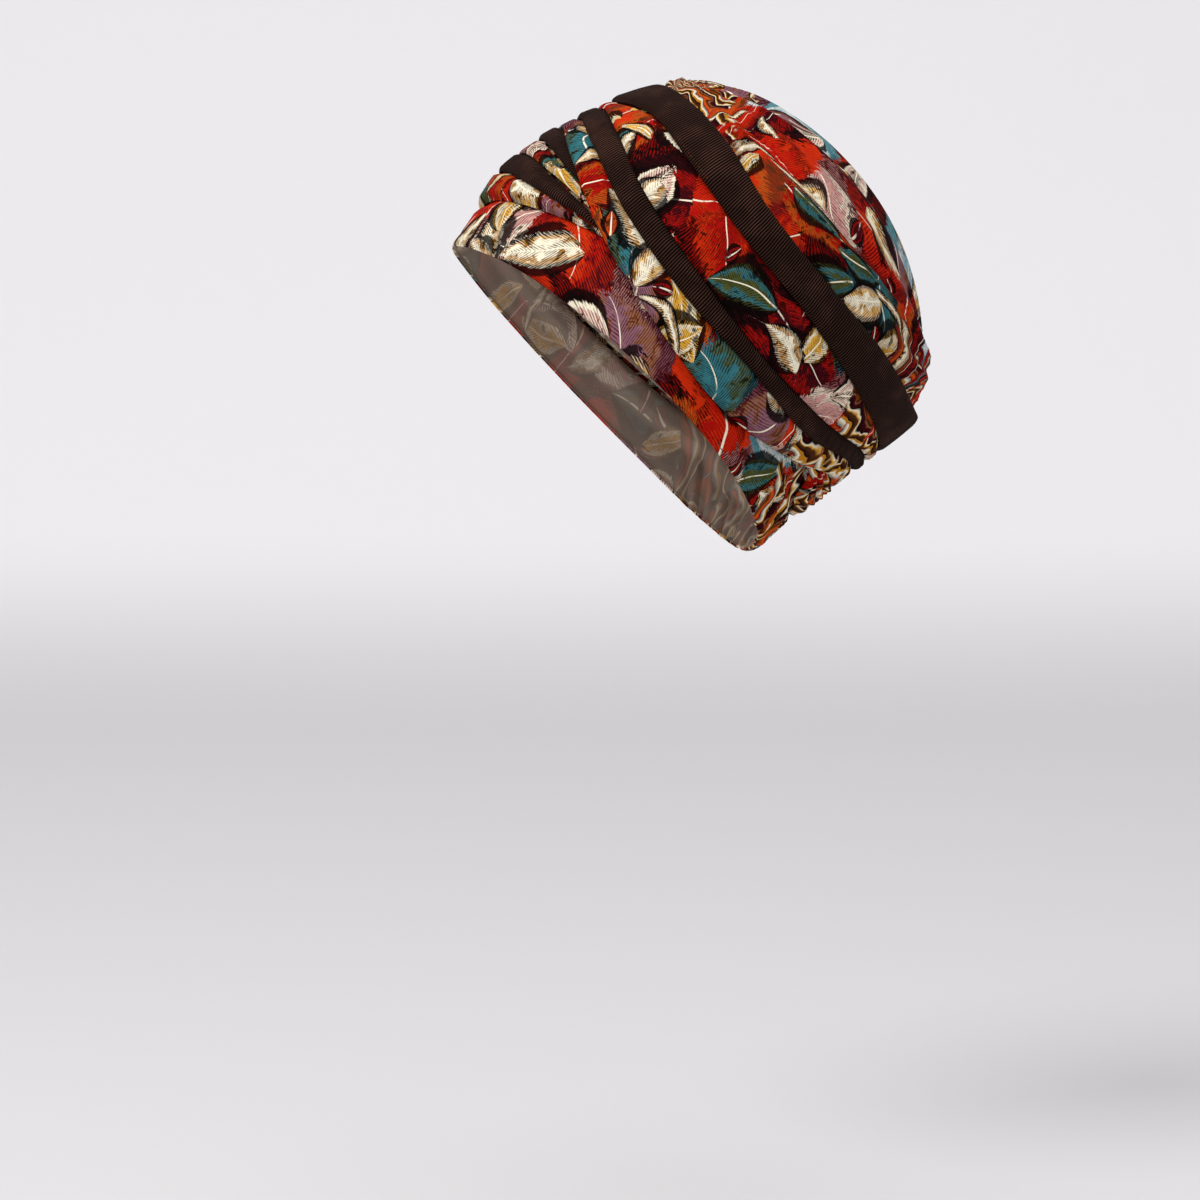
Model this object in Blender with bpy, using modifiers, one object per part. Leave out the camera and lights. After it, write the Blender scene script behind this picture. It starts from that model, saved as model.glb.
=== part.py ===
"""A turban headwrap in the form that it keeps when worn, hollow and open at its rim.

A place on the cloth is a turn round the head opening in degrees, 0 at the forehead, 90 at the left side
as worn and 180 at the nape, and a share of the way up the cloth from the rim, 0, to the apex, 1.
The forehead faces -Y and the left side as worn +X. The origin is the middle of the head opening.
"""

import math

import bmesh
import bpy
import numpy as np

# The head opening and the dome over it, outside the cloth
HALF_LENGTH = 0.1005
HALF_WIDTH = 0.0765
DOME_HEIGHT = 0.1475
LEAN_BACK_DEG = 43.4

# The cloth and how its layers lie on each other
CLOTH = 0.0013
LAYER_GAP = 0.0004
FOLD_LIFT = 0.0012
SINK_LENGTH = 0.007
CLEAR_LENGTH = 0.0112
BAND_TUCK = 0.007
TUCK_SHARE = 0.42
NAPE_TUCK = 0.0025
NAPE_LEAST = 0.0016
MEETING_GAP = 0.0015
SKIRT_GAP = 0.002
CROWN_RISE = 0.012

# Where the strips end, in degrees: the pleats short of the back, and past the edge that covers them
PLEATS_END = 168
END_PAST_CROSSING = 1.5
SEEN_LEAST = 0.5
SEEN_MOST = 0.8
BAND_CLEAR_TURN = 9
BAND_CLEAR_FADE = 8

# Gathers, ripples and folds: depths, and widths in degrees round the head
CROWN_PUFF = 0.0036
CROWN_GATHER = 0.0010
RUCHE_DEPTH = 0.0013
RUCHE_PITCH = 7.6
NAPE_HALF_TURN = 42
NAPE_END_FADE = 14
NAPE_SEAT_FADE = 12
NAPE_STEP_TURN = 184.5
NAPE_STEP_FADE = 5
BAND_RIPPLE = 0.0012
BAND_RIPPLE_PITCH = 9.2
BAND_RIPPLE_TURN = 28
BAND_RIPPLE_FADE = 18
GATHER_BIAS = 0.35

# How finely the cloth is divided round the head
TURN_STEP = 7.5
CROWN_STEP = 5
RIPPLE_STEP = 2.5

PRINT_COLOUR = (0.30, 0.085, 0.035)
BROWN_COLOUR = (0.030, 0.016, 0.012)
PRINT_ROUGHNESS = 0.75
BROWN_ROUGHNESS = 0.88


def table(names, *rows):
    """The columns of a table, by their names."""
    return dict(zip(names.split(), np.array(rows, float).T))


# How high the dome is and how far it reaches, as shares of its height, half length and half width
SECTIONS = table(
    "up height front back side",
    (0.00, 0.000, 0.985, 0.965, 0.970),
    (0.10, 0.140, 1.010, 1.000, 0.998),
    (0.20, 0.280, 1.045, 1.045, 1.025),
    (0.30, 0.419, 1.012, 1.095, 1.041),
    (0.40, 0.558, 0.942, 1.130, 1.025),
    (0.50, 0.691, 0.845, 1.050, 0.972),
    (0.60, 0.808, 0.735, 0.850, 0.871),
    (0.70, 0.899, 0.596, 0.638, 0.715),
    (0.80, 0.960, 0.410, 0.430, 0.499),
    (0.90, 0.993, 0.208, 0.216, 0.255),
    (1.00, 1.000, 0.000, 0.000, 0.000),
)

# How far the rim rises above the plane of the opening, as a share of the dome's height
RIM = table(
    "turn rise",
    (-150, -0.035),
    (-120, 0.000),
    (-80, 0.025),
    (-45, 0.025),
    (0, 0.000),
    (45, 0.025),
    (80, 0.025),
    (120, 0.000),
    (150, -0.035),
    (180, -0.060),
)
RIM_FADE = 3

# How far up each strip's folded edge lies. A strip reaches to the next column, and under it
EDGES = table(
    "turn nape pleat_1 pleat_2 pleat_3 pleat_4 side_1 side_2 side_3 side_4 top",
    (-150, 0.110, 0.150, 0.170, 0.190, 0.212, 0.236, 0.276, 0.312, 0.350, 0.450),
    (-125, 0.150, 0.110, 0.155, 0.196, 0.235, 0.272, 0.316, 0.354, 0.398, 0.490),
    (-100, 0.200, 0.096, 0.160, 0.213, 0.265, 0.312, 0.356, 0.395, 0.440, 0.528),
    (-75, 0.200, 0.090, 0.172, 0.232, 0.292, 0.343, 0.388, 0.427, 0.474, 0.560),
    (-50, 0.200, 0.094, 0.186, 0.248, 0.310, 0.362, 0.407, 0.447, 0.494, 0.580),
    (-25, 0.200, 0.108, 0.198, 0.258, 0.314, 0.364, 0.411, 0.453, 0.492, 0.592),
    (0, 0.200, 0.126, 0.192, 0.252, 0.302, 0.350, 0.394, 0.448, 0.480, 0.585),
    (25, 0.200, 0.141, 0.177, 0.223, 0.254, 0.271, 0.328, 0.388, 0.477, 0.565),
    (50, 0.200, 0.169, 0.180, 0.198, 0.212, 0.164, 0.240, 0.300, 0.424, 0.521),
    (75, 0.200, 0.200, 0.215, 0.230, 0.245, 0.095, 0.185, 0.241, 0.372, 0.454),
    (100, 0.200, 0.215, 0.230, 0.245, 0.260, 0.071, 0.175, 0.215, 0.349, 0.428),
    (125, 0.120, 0.215, 0.230, 0.245, 0.260, 0.113, 0.181, 0.230, 0.330, 0.426),
    (150, 0.104, 0.205, 0.216, 0.227, 0.238, 0.190, 0.240, 0.278, 0.327, 0.426),
    (180, 0.110, 0.184, 0.190, 0.196, 0.202, 0.208, 0.275, 0.305, 0.335, 0.430),
)

# Long soft folds over the crown, by their turn about the line from the front gather to the back one
CROWN_FOLDS = table(
    "turn width height",
    (-112, 24, 1.0),
    (-72, 20, 0.8),
    (-34, 22, 1.0),
    (2, 17, 0.8),
    (32, 15, 1.1),
    (58, 12, 1.0),
    (80, 12, 1.1),
    (104, 13, 0.9),
)
FRONT_GATHER = (6, 0.60)
BACK_GATHER = (168, 0.50)
FOLDS_PAST_GATHER = 0.12
FOLDS_FADE = 0.35
FOLDS_SINK = 0.45

# Each piece row by row across its width: the share of its width, whether tucked under the next piece,
# how many layers lie over it, and how much of each lift or gather it has
BAND_ROWS = table(
    "share tuck under gather",
    (0.00, 0, 0.08, 0.35),
    (0.30, 0, 0.00, 1.00),
    (0.72, 0, 0.00, 0.90),
    (1.00, 0, 1.00, 0.15),
    (1.00, 1, 1.00, 0.00),
)
NAPE_ROWS = table(
    "share tuck seen lift gather",
    (0.0, 0, 0, 0.0, 0.0),
    (0.3, 0, 1, 0.8, 1.0),
    (0.7, 0, 1, 0.3, 0.8),
    (1.0, 0, 0, 0.0, 0.0),
    (1.0, 1, 0, 0.0, 0.0),
)
STRIP_ROWS = table(
    "share tuck under lift seat",
    (0.00, 0, 0, 0.0, 1),
    (0.18, 0, 0, 1.0, 0),
    (0.55, 0, 0, 0.4, 0),
    (1.00, 0, 1, 0.0, 0),
    (1.00, 1, 1, 0.0, 0),
)
WIDE_ROWS = table(
    "share lift",
    (0.00, 0.0),
    (0.16, 1.0),
    (0.50, 0.9),
    (0.86, 0.8),
    (1.00, 0.0),
)
SKIRT_SHARES = (0, 0.5, 1)
CROWN_ROWS = table(
    "past dome under gather fold",
    (0.00, 0.00, 1.0, 0.00, 0.00),
    (0.08, 0.00, 1.0, 0.00, 0.00),
    (0.42, 0.00, 0.5, 0.45, 0.25),
    (1.00, 0.00, 0.0, 1.00, 0.75),
    (1.00, 0.16, 0.0, 1.00, 1.00),
    (1.00, 0.34, 0.0, 1.00, 1.00),
    (1.00, 0.52, 0.0, 1.00, 1.00),
    (1.00, 0.70, 0.0, 1.00, 1.00),
    (1.00, 0.86, 0.0, 1.00, 1.00),
    (1.00, 1.00, 0.0, 1.00, 1.00),
)

# The strips, each with the columns that it lies between and its cloth
FRONT_STRIPS = (
    ("front_print_lower", "pleat_1", "pleat_2", "print"),
    ("front_brown_lower", "pleat_2", "pleat_3", "brown"),
    ("front_print_upper", "pleat_3", "pleat_4", "print"),
    ("front_brown_upper", "pleat_4", "side_1", "brown"),
)
SIDE_STRIPS = (
    ("side_print_front", "side_1", "side_2", "print"),
    ("side_brown_narrow", "side_2", "side_3", "brown"),
    ("side_print_back", "side_3", "side_4", "print"),
)

# The levels of the cloth's outer face, from the form: tucked under one layer, and under two
UNDER_ONE = -(CLOTH + LAYER_GAP)
UNDER_TWO = 2 * UNDER_ONE

# The turn where the strips' ends meet at the back, with the layers' gap between them
BACK_SEAM = 180 - math.degrees(LAYER_GAP / HALF_LENGTH)


def smooth(knots, values, at):
    """A smooth curve through the values at the knots, read at the places asked for."""
    knots, values, at = (np.asarray(each, float) for each in (knots, values, at))
    slopes = np.gradient(values, knots)
    index = np.clip(np.searchsorted(knots, at, side="right") - 1, 0, len(knots) - 2)
    step = knots[index + 1] - knots[index]
    t = (at - knots[index]) / step
    start = values[index] * (1 + 2 * t) * (1 - t) ** 2 + slopes[index] * step * t * (1 - t) ** 2
    end = values[index + 1] * t**2 * (3 - 2 * t) + slopes[index + 1] * step * t**2 * (t - 1)
    return start + end


def around(rows, name, turn):
    """A column of a table by turn, joined up into a ring."""
    knots = np.concatenate([rows["turn"] + 360 * lap for lap in (-1, 0, 1)])
    return smooth(knots, np.tile(rows[name], 3), turn)


def over_the_dome(name, up):
    """A column of the sections, mirrored past the apex so that the dome is round there."""
    mirrored = 1 if name == "height" else -1
    knots = np.append(SECTIONS["up"], 2 - SECTIONS["up"][-2])
    values = np.append(SECTIONS[name], mirrored * SECTIONS[name][-2])
    return smooth(knots, values, up)


def form(turn, up):
    """The point of the plain form at a turn and a share up, in the leaning hat's own axes turned upright."""
    turn, up = np.broadcast_arrays(np.asarray(turn, float), np.asarray(up, float))
    ahead = np.cos(np.radians(turn))
    reach = np.where(ahead > 0, over_the_dome("front", up), over_the_dome("back", up))
    back = -HALF_LENGTH * reach * ahead
    left = HALF_WIDTH * over_the_dome("side", up) * np.sin(np.radians(turn))
    rise = around(RIM, "rise", turn) * (1 - up) ** RIM_FADE
    axis = DOME_HEIGHT * (over_the_dome("height", up) + rise)
    lean = math.radians(LEAN_BACK_DEG)
    return np.stack(
        [left, back * math.cos(lean) + axis * math.sin(lean), axis * math.cos(lean) - back * math.sin(lean)],
        axis=-1,
    )


def outward(turn, up):
    """The form's outward direction, from its slopes round the head and up the cloth."""
    small_turn, small_up = 0.5, 0.002
    up = np.minimum(up, 1 - 2 * small_up)
    round_the_head = form(turn + small_turn, up) - form(turn - small_turn, up)
    up_the_cloth = form(turn, up + small_up) - form(turn, up - small_up)
    normal = np.cross(round_the_head, up_the_cloth)
    return normal / np.linalg.norm(normal, axis=-1, keepdims=True)


def cloth_length():
    """How long the cloth is from the rim to the apex, at the side."""
    points = form(90.0, np.linspace(0, 1, 80))
    return np.linalg.norm(np.diff(points, axis=0), axis=1).sum()


UP_LENGTH = cloth_length()


def edge(name, turn):
    return around(EDGES, name, turn)


def fade(value):
    """0 below 0, 1 above 1, and an even curve between."""
    t = np.clip(value, 0, 1)
    return t * t * (3 - 2 * t)


def top_of_band(turn):
    """Where the headband first goes under another piece."""
    first = np.minimum(edge("pleat_1", turn), edge("side_1", turn))
    return np.minimum(first, edge("nape", turn))


def down(rows, name):
    """A column of one of the pieces' row tables, to be combined with values round the head."""
    return rows[name][:, None]


def across(rows, low, high, far):
    """The share up the cloth of each row of a piece from its low edge to its high one and its tucked one."""
    return low + down(rows, "share") * (high - low) + down(rows, "tuck") * (far - high)


def strip_level(seat):
    """How a strip lies across its width: seated at its fold, then lifted, then down to its tucked edge."""
    lie = FOLD_LIFT * down(STRIP_ROWS, "lift") + UNDER_ONE * down(STRIP_ROWS, "under")
    return lie + (seat - UNDER_ONE) * down(STRIP_ROWS, "seat")


def ruche(turn, pitch):
    """Small gathers side by side round the nape."""
    return GATHER_BIAS + np.cos(2 * math.pi * turn / pitch)


def at_the_nape(turn, half_width, soft):
    """1 near the nape, 0 elsewhere."""
    away = 180 - np.abs(turn)
    return fade((half_width + soft - away) / soft)


def crown_folds(points):
    """The height of the crown's long folds and the dips between them, as a share of the puff."""
    front, back = (form(*place) for place in (FRONT_GATHER, BACK_GATHER))
    line = (back - front) / np.linalg.norm(back - front)
    middle = (front + back) / 2
    side = np.array([1.0, 0.0, 0.0])
    side = side - line * (side @ line)
    side = side / np.linalg.norm(side)
    rise = np.cross(side, line)
    turn = np.degrees(np.arctan2((points - middle) @ side, (points - middle) @ rise))
    height = np.zeros(turn.shape)
    for centre, width, share in zip(*(CROWN_FOLDS[name] for name in ("turn", "width", "height"))):
        height = height + share * np.exp(-(((turn - centre) / width) ** 2) * 2)
    along = (points - front) @ line / np.linalg.norm(back - front)
    return (
        (height - FOLDS_SINK)
        * fade((along + FOLDS_PAST_GATHER) / FOLDS_FADE)
        * fade((1 + FOLDS_PAST_GATHER - along) / FOLDS_FADE)
    )


def turns_between(start, end, step=TURN_STEP):
    return np.linspace(start, end, max(1, round((end - start) / step)) + 1)


def band_places():
    """The headband: from the rim to under the strips, rippled where it is gathered at the nape."""
    rippled = BAND_RIPPLE_TURN + BAND_RIPPLE_FADE
    left = turns_between(180 - rippled, 180, RIPPLE_STEP)
    turn = np.concatenate([-left[::-1], turns_between(rippled - 180, 180 - rippled)[1:-1], left])
    top = top_of_band(turn)
    up = across(BAND_ROWS, 0, top, top + BAND_TUCK / UP_LENGTH)
    gathered = down(BAND_ROWS, "gather") * at_the_nape(turn, BAND_RIPPLE_TURN, BAND_RIPPLE_FADE)
    ripple = BAND_RIPPLE * gathered * ruche(turn, BAND_RIPPLE_PITCH)
    return turn + 0 * up, up, UNDER_TWO * down(BAND_ROWS, "under") + ripple


def nape_places():
    """The ruched piece low at the nape, between the headband and the ends of the strips."""
    turn = turns_between(180 - NAPE_HALF_TURN, 180 + NAPE_HALF_TURN, RIPPLE_STEP)
    left, right = edge("side_1", turn), edge("pleat_1", turn)
    high = left + (right - left) * fade((turn - NAPE_STEP_TURN) / NAPE_STEP_FADE)
    ends = fade((NAPE_HALF_TURN - np.abs(turn - 180)) / NAPE_END_FADE)
    low = high - np.maximum((high - edge("nape", turn)) * ends, NAPE_LEAST / UP_LENGTH)
    tuck = TUCK_SHARE * np.minimum(edge("pleat_2", turn) - edge("pleat_1", turn), NAPE_TUCK / UP_LENGTH)
    up = across(NAPE_ROWS, low, high, high + tuck)
    lie = FOLD_LIFT * down(NAPE_ROWS, "lift") - UNDER_ONE * down(NAPE_ROWS, "seen")
    puff = RUCHE_DEPTH * down(NAPE_ROWS, "gather") * ruche(turn, RUCHE_PITCH)
    return turn + 0 * up, up, UNDER_ONE + (lie + puff) * ends


def crossing_turn(name):
    """The turn on the left where a pleat's edge goes under the diagonal wrap."""
    turn = turns_between(0, 90, 0.25)
    return turn[np.argmax(edge(name, turn) >= edge("side_1", turn))]


def seat_level(low_name, turn):
    """The level of what a strip's folded edge lies on: another strip, the headband or the nape's gathers."""
    if low_name == "pleat_1":
        over_band = 1 - at_the_nape(turn, NAPE_HALF_TURN, NAPE_SEAT_FADE)
    elif low_name == "side_1":
        crossed = fade((turn - crossing_turn("pleat_1") - BAND_CLEAR_TURN) / BAND_CLEAR_FADE)
        over_band = crossed * (1 - at_the_nape(turn, NAPE_HALF_TURN, NAPE_SEAT_FADE))
    else:
        over_band = 0 * turn
    return UNDER_ONE + (UNDER_TWO - UNDER_ONE) * over_band


def side_places(low_name, high_name):
    """A strip of the diagonal wrap, from the nape's left over the head to its right."""
    turn = turns_between(-BACK_SEAM, BACK_SEAM)
    low, high = edge(low_name, turn), edge(high_name, turn)
    up = across(STRIP_ROWS, low, high, high + TUCK_SHARE * (edge(following(high_name), turn) - high))
    return turn + 0 * up, up, strip_level(seat_level(low_name, turn)) + 0 * up


def front_places(low_name, high_name):
    """A pleat over the forehead, from the nape's right to where it goes under the diagonal wrap."""
    turn = turns_between(-PLEATS_END, crossing_turn(low_name) + END_PAST_CROSSING)
    low, high, cover = (edge(name, turn) for name in (low_name, high_name, "side_1"))
    cover = np.where(turn > 0, cover, 1)
    clear = fade(((cover - high) * UP_LENGTH - CLEAR_LENGTH) / SINK_LENGTH)
    meet = MEETING_GAP / UP_LENGTH
    tuck = TUCK_SHARE * (edge(following(high_name), turn) - high) * clear - meet * (1 - clear)
    past = fade((turn - crossing_turn(high_name) - END_PAST_CROSSING - TURN_STEP) / TURN_STEP)
    crossed = (TUCK_SHARE * (edge("side_2", turn) - edge("side_1", turn)) + meet) * past - meet
    if high_name == "side_1":
        far = high + TUCK_SHARE * (edge("side_2", turn) - high)
    else:
        far = np.maximum(np.where(cover > high, high + tuck, cover + crossed), low + meet)
    least, most = (low + share * (far - low) for share in (SEEN_LEAST, SEEN_MOST))
    up = across(STRIP_ROWS, low, np.clip(np.minimum(high, cover), least, most), far)
    sunk = fade((cover - up) * UP_LENGTH / SINK_LENGTH)
    return turn + 0 * up, up, UNDER_ONE + (strip_level(seat_level(low_name, turn)) - UNDER_ONE) * sunk


def following(name):
    names = list(EDGES)
    return names[names.index(name) + 1]


def wide_places():
    """The wide band: its upper edge lies in sight, on the crown."""
    turn = turns_between(-BACK_SEAM, BACK_SEAM)
    low, high = edge("side_4", turn), edge("top", turn)
    up = low + down(WIDE_ROWS, "share") * (high - low)
    return turn + 0 * up, up, FOLD_LIFT * down(WIDE_ROWS, "lift") + 0 * up


def crown_places():
    """The crown: a plain skirt under the strips, then puffed folds from the front gather to the back."""
    turn = turns_between(-180, 180, CROWN_STEP)
    skirt = top_of_band(turn) + (BAND_TUCK + SKIRT_GAP) / UP_LENGTH
    low, high = edge("side_4", turn), edge("top", turn)
    under = low + TUCK_SHARE * (high - low)
    hidden = skirt + np.array(SKIRT_SHARES)[:, None] * (under - skirt)
    shown = high + CROWN_RISE / UP_LENGTH * down(CROWN_ROWS, "past")
    shown = shown + down(CROWN_ROWS, "dome") * (1 - shown)
    folds = CROWN_PUFF * down(CROWN_ROWS, "fold") * crown_folds(form(turn + 0 * shown, shown))
    lie = CROWN_GATHER * down(CROWN_ROWS, "gather") + UNDER_ONE * down(CROWN_ROWS, "under")
    up = np.vstack([hidden, shown])
    return turn + 0 * up, up, np.vstack([UNDER_TWO + 0 * hidden, lie + folds])


def sheet(name, turn, up, level, collection, material):
    """A piece of cloth whose outer face lies at the given places, as a grid moved there and thickened inwards."""
    places = form(turn, up) + outward(turn, up) * level[..., None]
    rows, columns = turn.shape
    body = bmesh.new()
    bmesh.ops.create_grid(body, x_segments=columns - 1, y_segments=rows - 1, size=0.5)
    for corner in body.verts:
        column = round((corner.co.x + 0.5) * (columns - 1))
        row = round((corner.co.y + 0.5) * (rows - 1))
        corner.co = places[row, column]
    bmesh.ops.remove_doubles(body, verts=body.verts, dist=1e-6)
    mesh = bpy.data.meshes.new(name)
    body.to_mesh(mesh)
    body.free()
    mesh.shade_smooth()
    mesh.materials.append(material)
    piece = bpy.data.objects.new(name, mesh)
    collection.objects.link(piece)
    wall = piece.modifiers.new("cloth", "SOLIDIFY")
    wall.thickness = CLOTH
    wall.offset = -1
    return piece


def cloth_material(name, colour, roughness):
    material = bpy.data.materials.new(name)
    material.use_nodes = True
    shader = material.node_tree.nodes["Principled BSDF"]
    shader.inputs["Base Color"].default_value = (*colour, 1)
    shader.inputs["Roughness"].default_value = roughness
    shader.inputs["Metallic"].default_value = 0
    return material


def build():
    for old in list(bpy.data.objects):
        bpy.data.objects.remove(old)
    collection = bpy.data.collections.new("turban_headwrap")
    bpy.context.scene.collection.children.link(collection)
    looks = {"print": (PRINT_COLOUR, PRINT_ROUGHNESS), "brown": (BROWN_COLOUR, BROWN_ROUGHNESS)}

    def add(name, rows, look):
        sheet(name, *rows, collection, cloth_material(name + "_cloth", *looks[look]))

    add("head_band", band_places(), "print")
    add("crown_cap", crown_places(), "print")
    add("nape_gather", nape_places(), "print")
    for name, low, high, look in FRONT_STRIPS:
        add(name, front_places(low, high), look)
    for name, low, high, look in SIDE_STRIPS:
        add(name, side_places(low, high), look)
    add("side_brown_wide", wide_places(), "brown")


build()
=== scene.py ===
"""The looks of the turban headwrap: folded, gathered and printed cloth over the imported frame, and its stage.

A place on the cloth is a turn round the head opening in degrees, 0 at the forehead, 90 at the left side
as worn and 180 at the nape, and a share of the way up the cloth from the rim, 0, to the apex, 1.
"""

import math

import bpy
import numpy as np
from bpy.props import FloatProperty, FloatVectorProperty, PointerProperty
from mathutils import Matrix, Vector


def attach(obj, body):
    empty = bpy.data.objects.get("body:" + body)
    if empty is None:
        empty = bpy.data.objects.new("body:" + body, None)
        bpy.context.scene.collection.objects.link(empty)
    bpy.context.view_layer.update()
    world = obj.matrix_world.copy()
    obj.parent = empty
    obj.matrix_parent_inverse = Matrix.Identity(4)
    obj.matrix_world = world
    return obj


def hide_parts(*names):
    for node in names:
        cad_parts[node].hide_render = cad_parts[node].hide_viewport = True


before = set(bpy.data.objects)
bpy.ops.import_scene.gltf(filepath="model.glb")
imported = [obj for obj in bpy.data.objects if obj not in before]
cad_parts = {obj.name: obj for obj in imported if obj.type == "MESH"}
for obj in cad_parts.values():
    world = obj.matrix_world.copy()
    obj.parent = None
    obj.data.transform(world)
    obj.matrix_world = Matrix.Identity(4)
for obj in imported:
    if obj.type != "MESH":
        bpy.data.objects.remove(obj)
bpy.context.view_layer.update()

bl_info = {
    "name": "Turban headwrap",
    "version": (1, 0, 0),
    "blender": (4, 5, 0),
    "location": "View3D > Sidebar > Headwrap",
    "description": "Wrapped print and ribbed cloth in the form that it keeps when worn",
    "category": "Object",
}

# The seeds of the creases and gathers, so that each run gives the same cloth
SEED = 27


def table(names, *rows):
    """The columns of a table, by their names."""
    return dict(zip(names.split(), np.array(rows, float).T))


# How high the dome is and how far it reaches, as shares of its height, half length and half width
SECTIONS = table(
    "up height front back side",
    (0.00, 0.000, 0.985, 0.965, 0.970),
    (0.10, 0.140, 1.010, 1.000, 0.998),
    (0.20, 0.280, 1.045, 1.045, 1.025),
    (0.30, 0.419, 1.012, 1.095, 1.041),
    (0.40, 0.558, 0.942, 1.130, 1.025),
    (0.50, 0.691, 0.845, 1.050, 0.972),
    (0.60, 0.808, 0.735, 0.850, 0.871),
    (0.70, 0.899, 0.596, 0.638, 0.715),
    (0.80, 0.960, 0.410, 0.430, 0.499),
    (0.90, 0.993, 0.208, 0.216, 0.255),
    (1.00, 1.000, 0.000, 0.000, 0.000),
)

# How far the rim rises above the plane of the opening, as a share of the dome's height
RIM = table(
    "turn rise",
    (-150, -0.035),
    (-120, 0.000),
    (-80, 0.025),
    (-45, 0.025),
    (0, 0.000),
    (45, 0.025),
    (80, 0.025),
    (120, 0.000),
    (150, -0.035),
    (180, -0.060),
)
RIM_FADE = 3

# How far up each strip's folded edge lies. A strip reaches to the next column, and under it
EDGES = table(
    "turn nape pleat_1 pleat_2 pleat_3 pleat_4 side_1 side_2 side_3 side_4 top",
    (-150, 0.110, 0.150, 0.170, 0.190, 0.212, 0.236, 0.276, 0.312, 0.350, 0.450),
    (-125, 0.150, 0.110, 0.155, 0.196, 0.235, 0.272, 0.316, 0.354, 0.398, 0.490),
    (-100, 0.200, 0.096, 0.160, 0.213, 0.265, 0.312, 0.356, 0.395, 0.440, 0.528),
    (-75, 0.200, 0.090, 0.172, 0.232, 0.292, 0.343, 0.388, 0.427, 0.474, 0.560),
    (-50, 0.200, 0.094, 0.186, 0.248, 0.310, 0.362, 0.407, 0.447, 0.494, 0.580),
    (-25, 0.200, 0.108, 0.198, 0.258, 0.314, 0.364, 0.411, 0.453, 0.492, 0.592),
    (0, 0.200, 0.126, 0.192, 0.252, 0.302, 0.350, 0.394, 0.448, 0.480, 0.585),
    (25, 0.200, 0.141, 0.177, 0.223, 0.254, 0.271, 0.328, 0.388, 0.477, 0.565),
    (50, 0.200, 0.169, 0.180, 0.198, 0.212, 0.164, 0.240, 0.300, 0.424, 0.521),
    (75, 0.200, 0.200, 0.215, 0.230, 0.245, 0.095, 0.185, 0.241, 0.372, 0.454),
    (100, 0.200, 0.215, 0.230, 0.245, 0.260, 0.071, 0.175, 0.215, 0.349, 0.428),
    (125, 0.120, 0.215, 0.230, 0.245, 0.260, 0.113, 0.181, 0.230, 0.330, 0.426),
    (150, 0.104, 0.205, 0.216, 0.227, 0.238, 0.190, 0.240, 0.278, 0.327, 0.426),
    (180, 0.110, 0.184, 0.190, 0.196, 0.202, 0.208, 0.275, 0.305, 0.335, 0.430),
)

# Long soft folds over the crown, by their turn about the line from the front gather to the back one
CROWN_FOLDS = table(
    "turn width height",
    (-112, 24, 1.0),
    (-72, 20, 0.8),
    (-34, 22, 1.0),
    (2, 17, 0.8),
    (32, 15, 1.1),
    (58, 12, 1.0),
    (80, 12, 1.1),
    (104, 13, 0.9),
)
# Where one of the folds lies over the next, by turn, and how deep the crease is in metres
CROWN_CREASES = table(
    "turn depth",
    (-108, 0.0022),
    (-66, 0.0030),
    (-24, 0.0032),
    (14, 0.0020),
    (50, 0.0036),
    (88, 0.0020),
)
CREASE_SHARP_DEG = 2.2
CREASE_BROAD_DEG = 10.0
CREASE_HIDES = 0.024
FRONT_GATHER = (6, 0.60)
BACK_GATHER = (168, 0.50)
FOLDS_PAST_GATHER = 0.12
FOLDS_FADE = 0.35
FOLDS_SINK = 0.45

# The stitches along the wide band's lower edge: their turns, and their sizes in metres
STITCHES_START = 30
STITCHES_END = 57
STITCH_PITCH = 0.0021
STITCH_HALF_LENGTH = 0.00062
STITCH_RADIUS = 0.0002
STITCH_ABOVE_FOLD = 0.0008
STITCH_LEVEL = 0.0008

# Where the strips end, in degrees: the pleats short of the back, and past the edge that covers them
PLEATS_END = 168
END_PAST_CROSSING = 1.5
# The least and the most of a pleat's cloth that shows, as shares of it
SEEN_LEAST = 0.5
SEEN_MOST = 0.8

# The strips: the node that each stands for, the edges that it lies between, its cloth, how far it lifts in
# metres, how far its print is shifted in metres and turned, and its flat cut's width and length in metres
STRIPS = (
    ("front_print_lower", "pleat_1", "pleat_2", "print", 0.0012, (0.31, 0.12, 0.5), (0.018, 0.40)),
    ("front_brown_lower", "pleat_2", "pleat_3", "brown", 0.0011, (0, 0, 0), (0.015, 0.36)),
    ("front_print_upper", "pleat_3", "pleat_4", "print", 0.0012, (0.12, 0.44, 0.2), (0.015, 0.36)),
    ("front_brown_upper", "pleat_4", "side_1", "brown", 0.0011, (0, 0, 0), (0.015, 0.34)),
    ("side_print_front", "side_1", "side_2", "print", 0.0012, (0.21, 0.73, 0.3), (0.019, 0.60)),
    ("side_brown_narrow", "side_2", "side_3", "brown", 0.0012, (0, 0, 0), (0.017, 0.59)),
    ("side_print_back", "side_3", "side_4", "print", 0.0011, (0.55, 0.31, 0.4), (0.024, 0.60)),
)

# How much more or less some strips lift over the front, as a share
LIFT_OVER_FRONT = {"pleat_1": 0.6, "pleat_3": -0.7, "side_1": -0.85}

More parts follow.
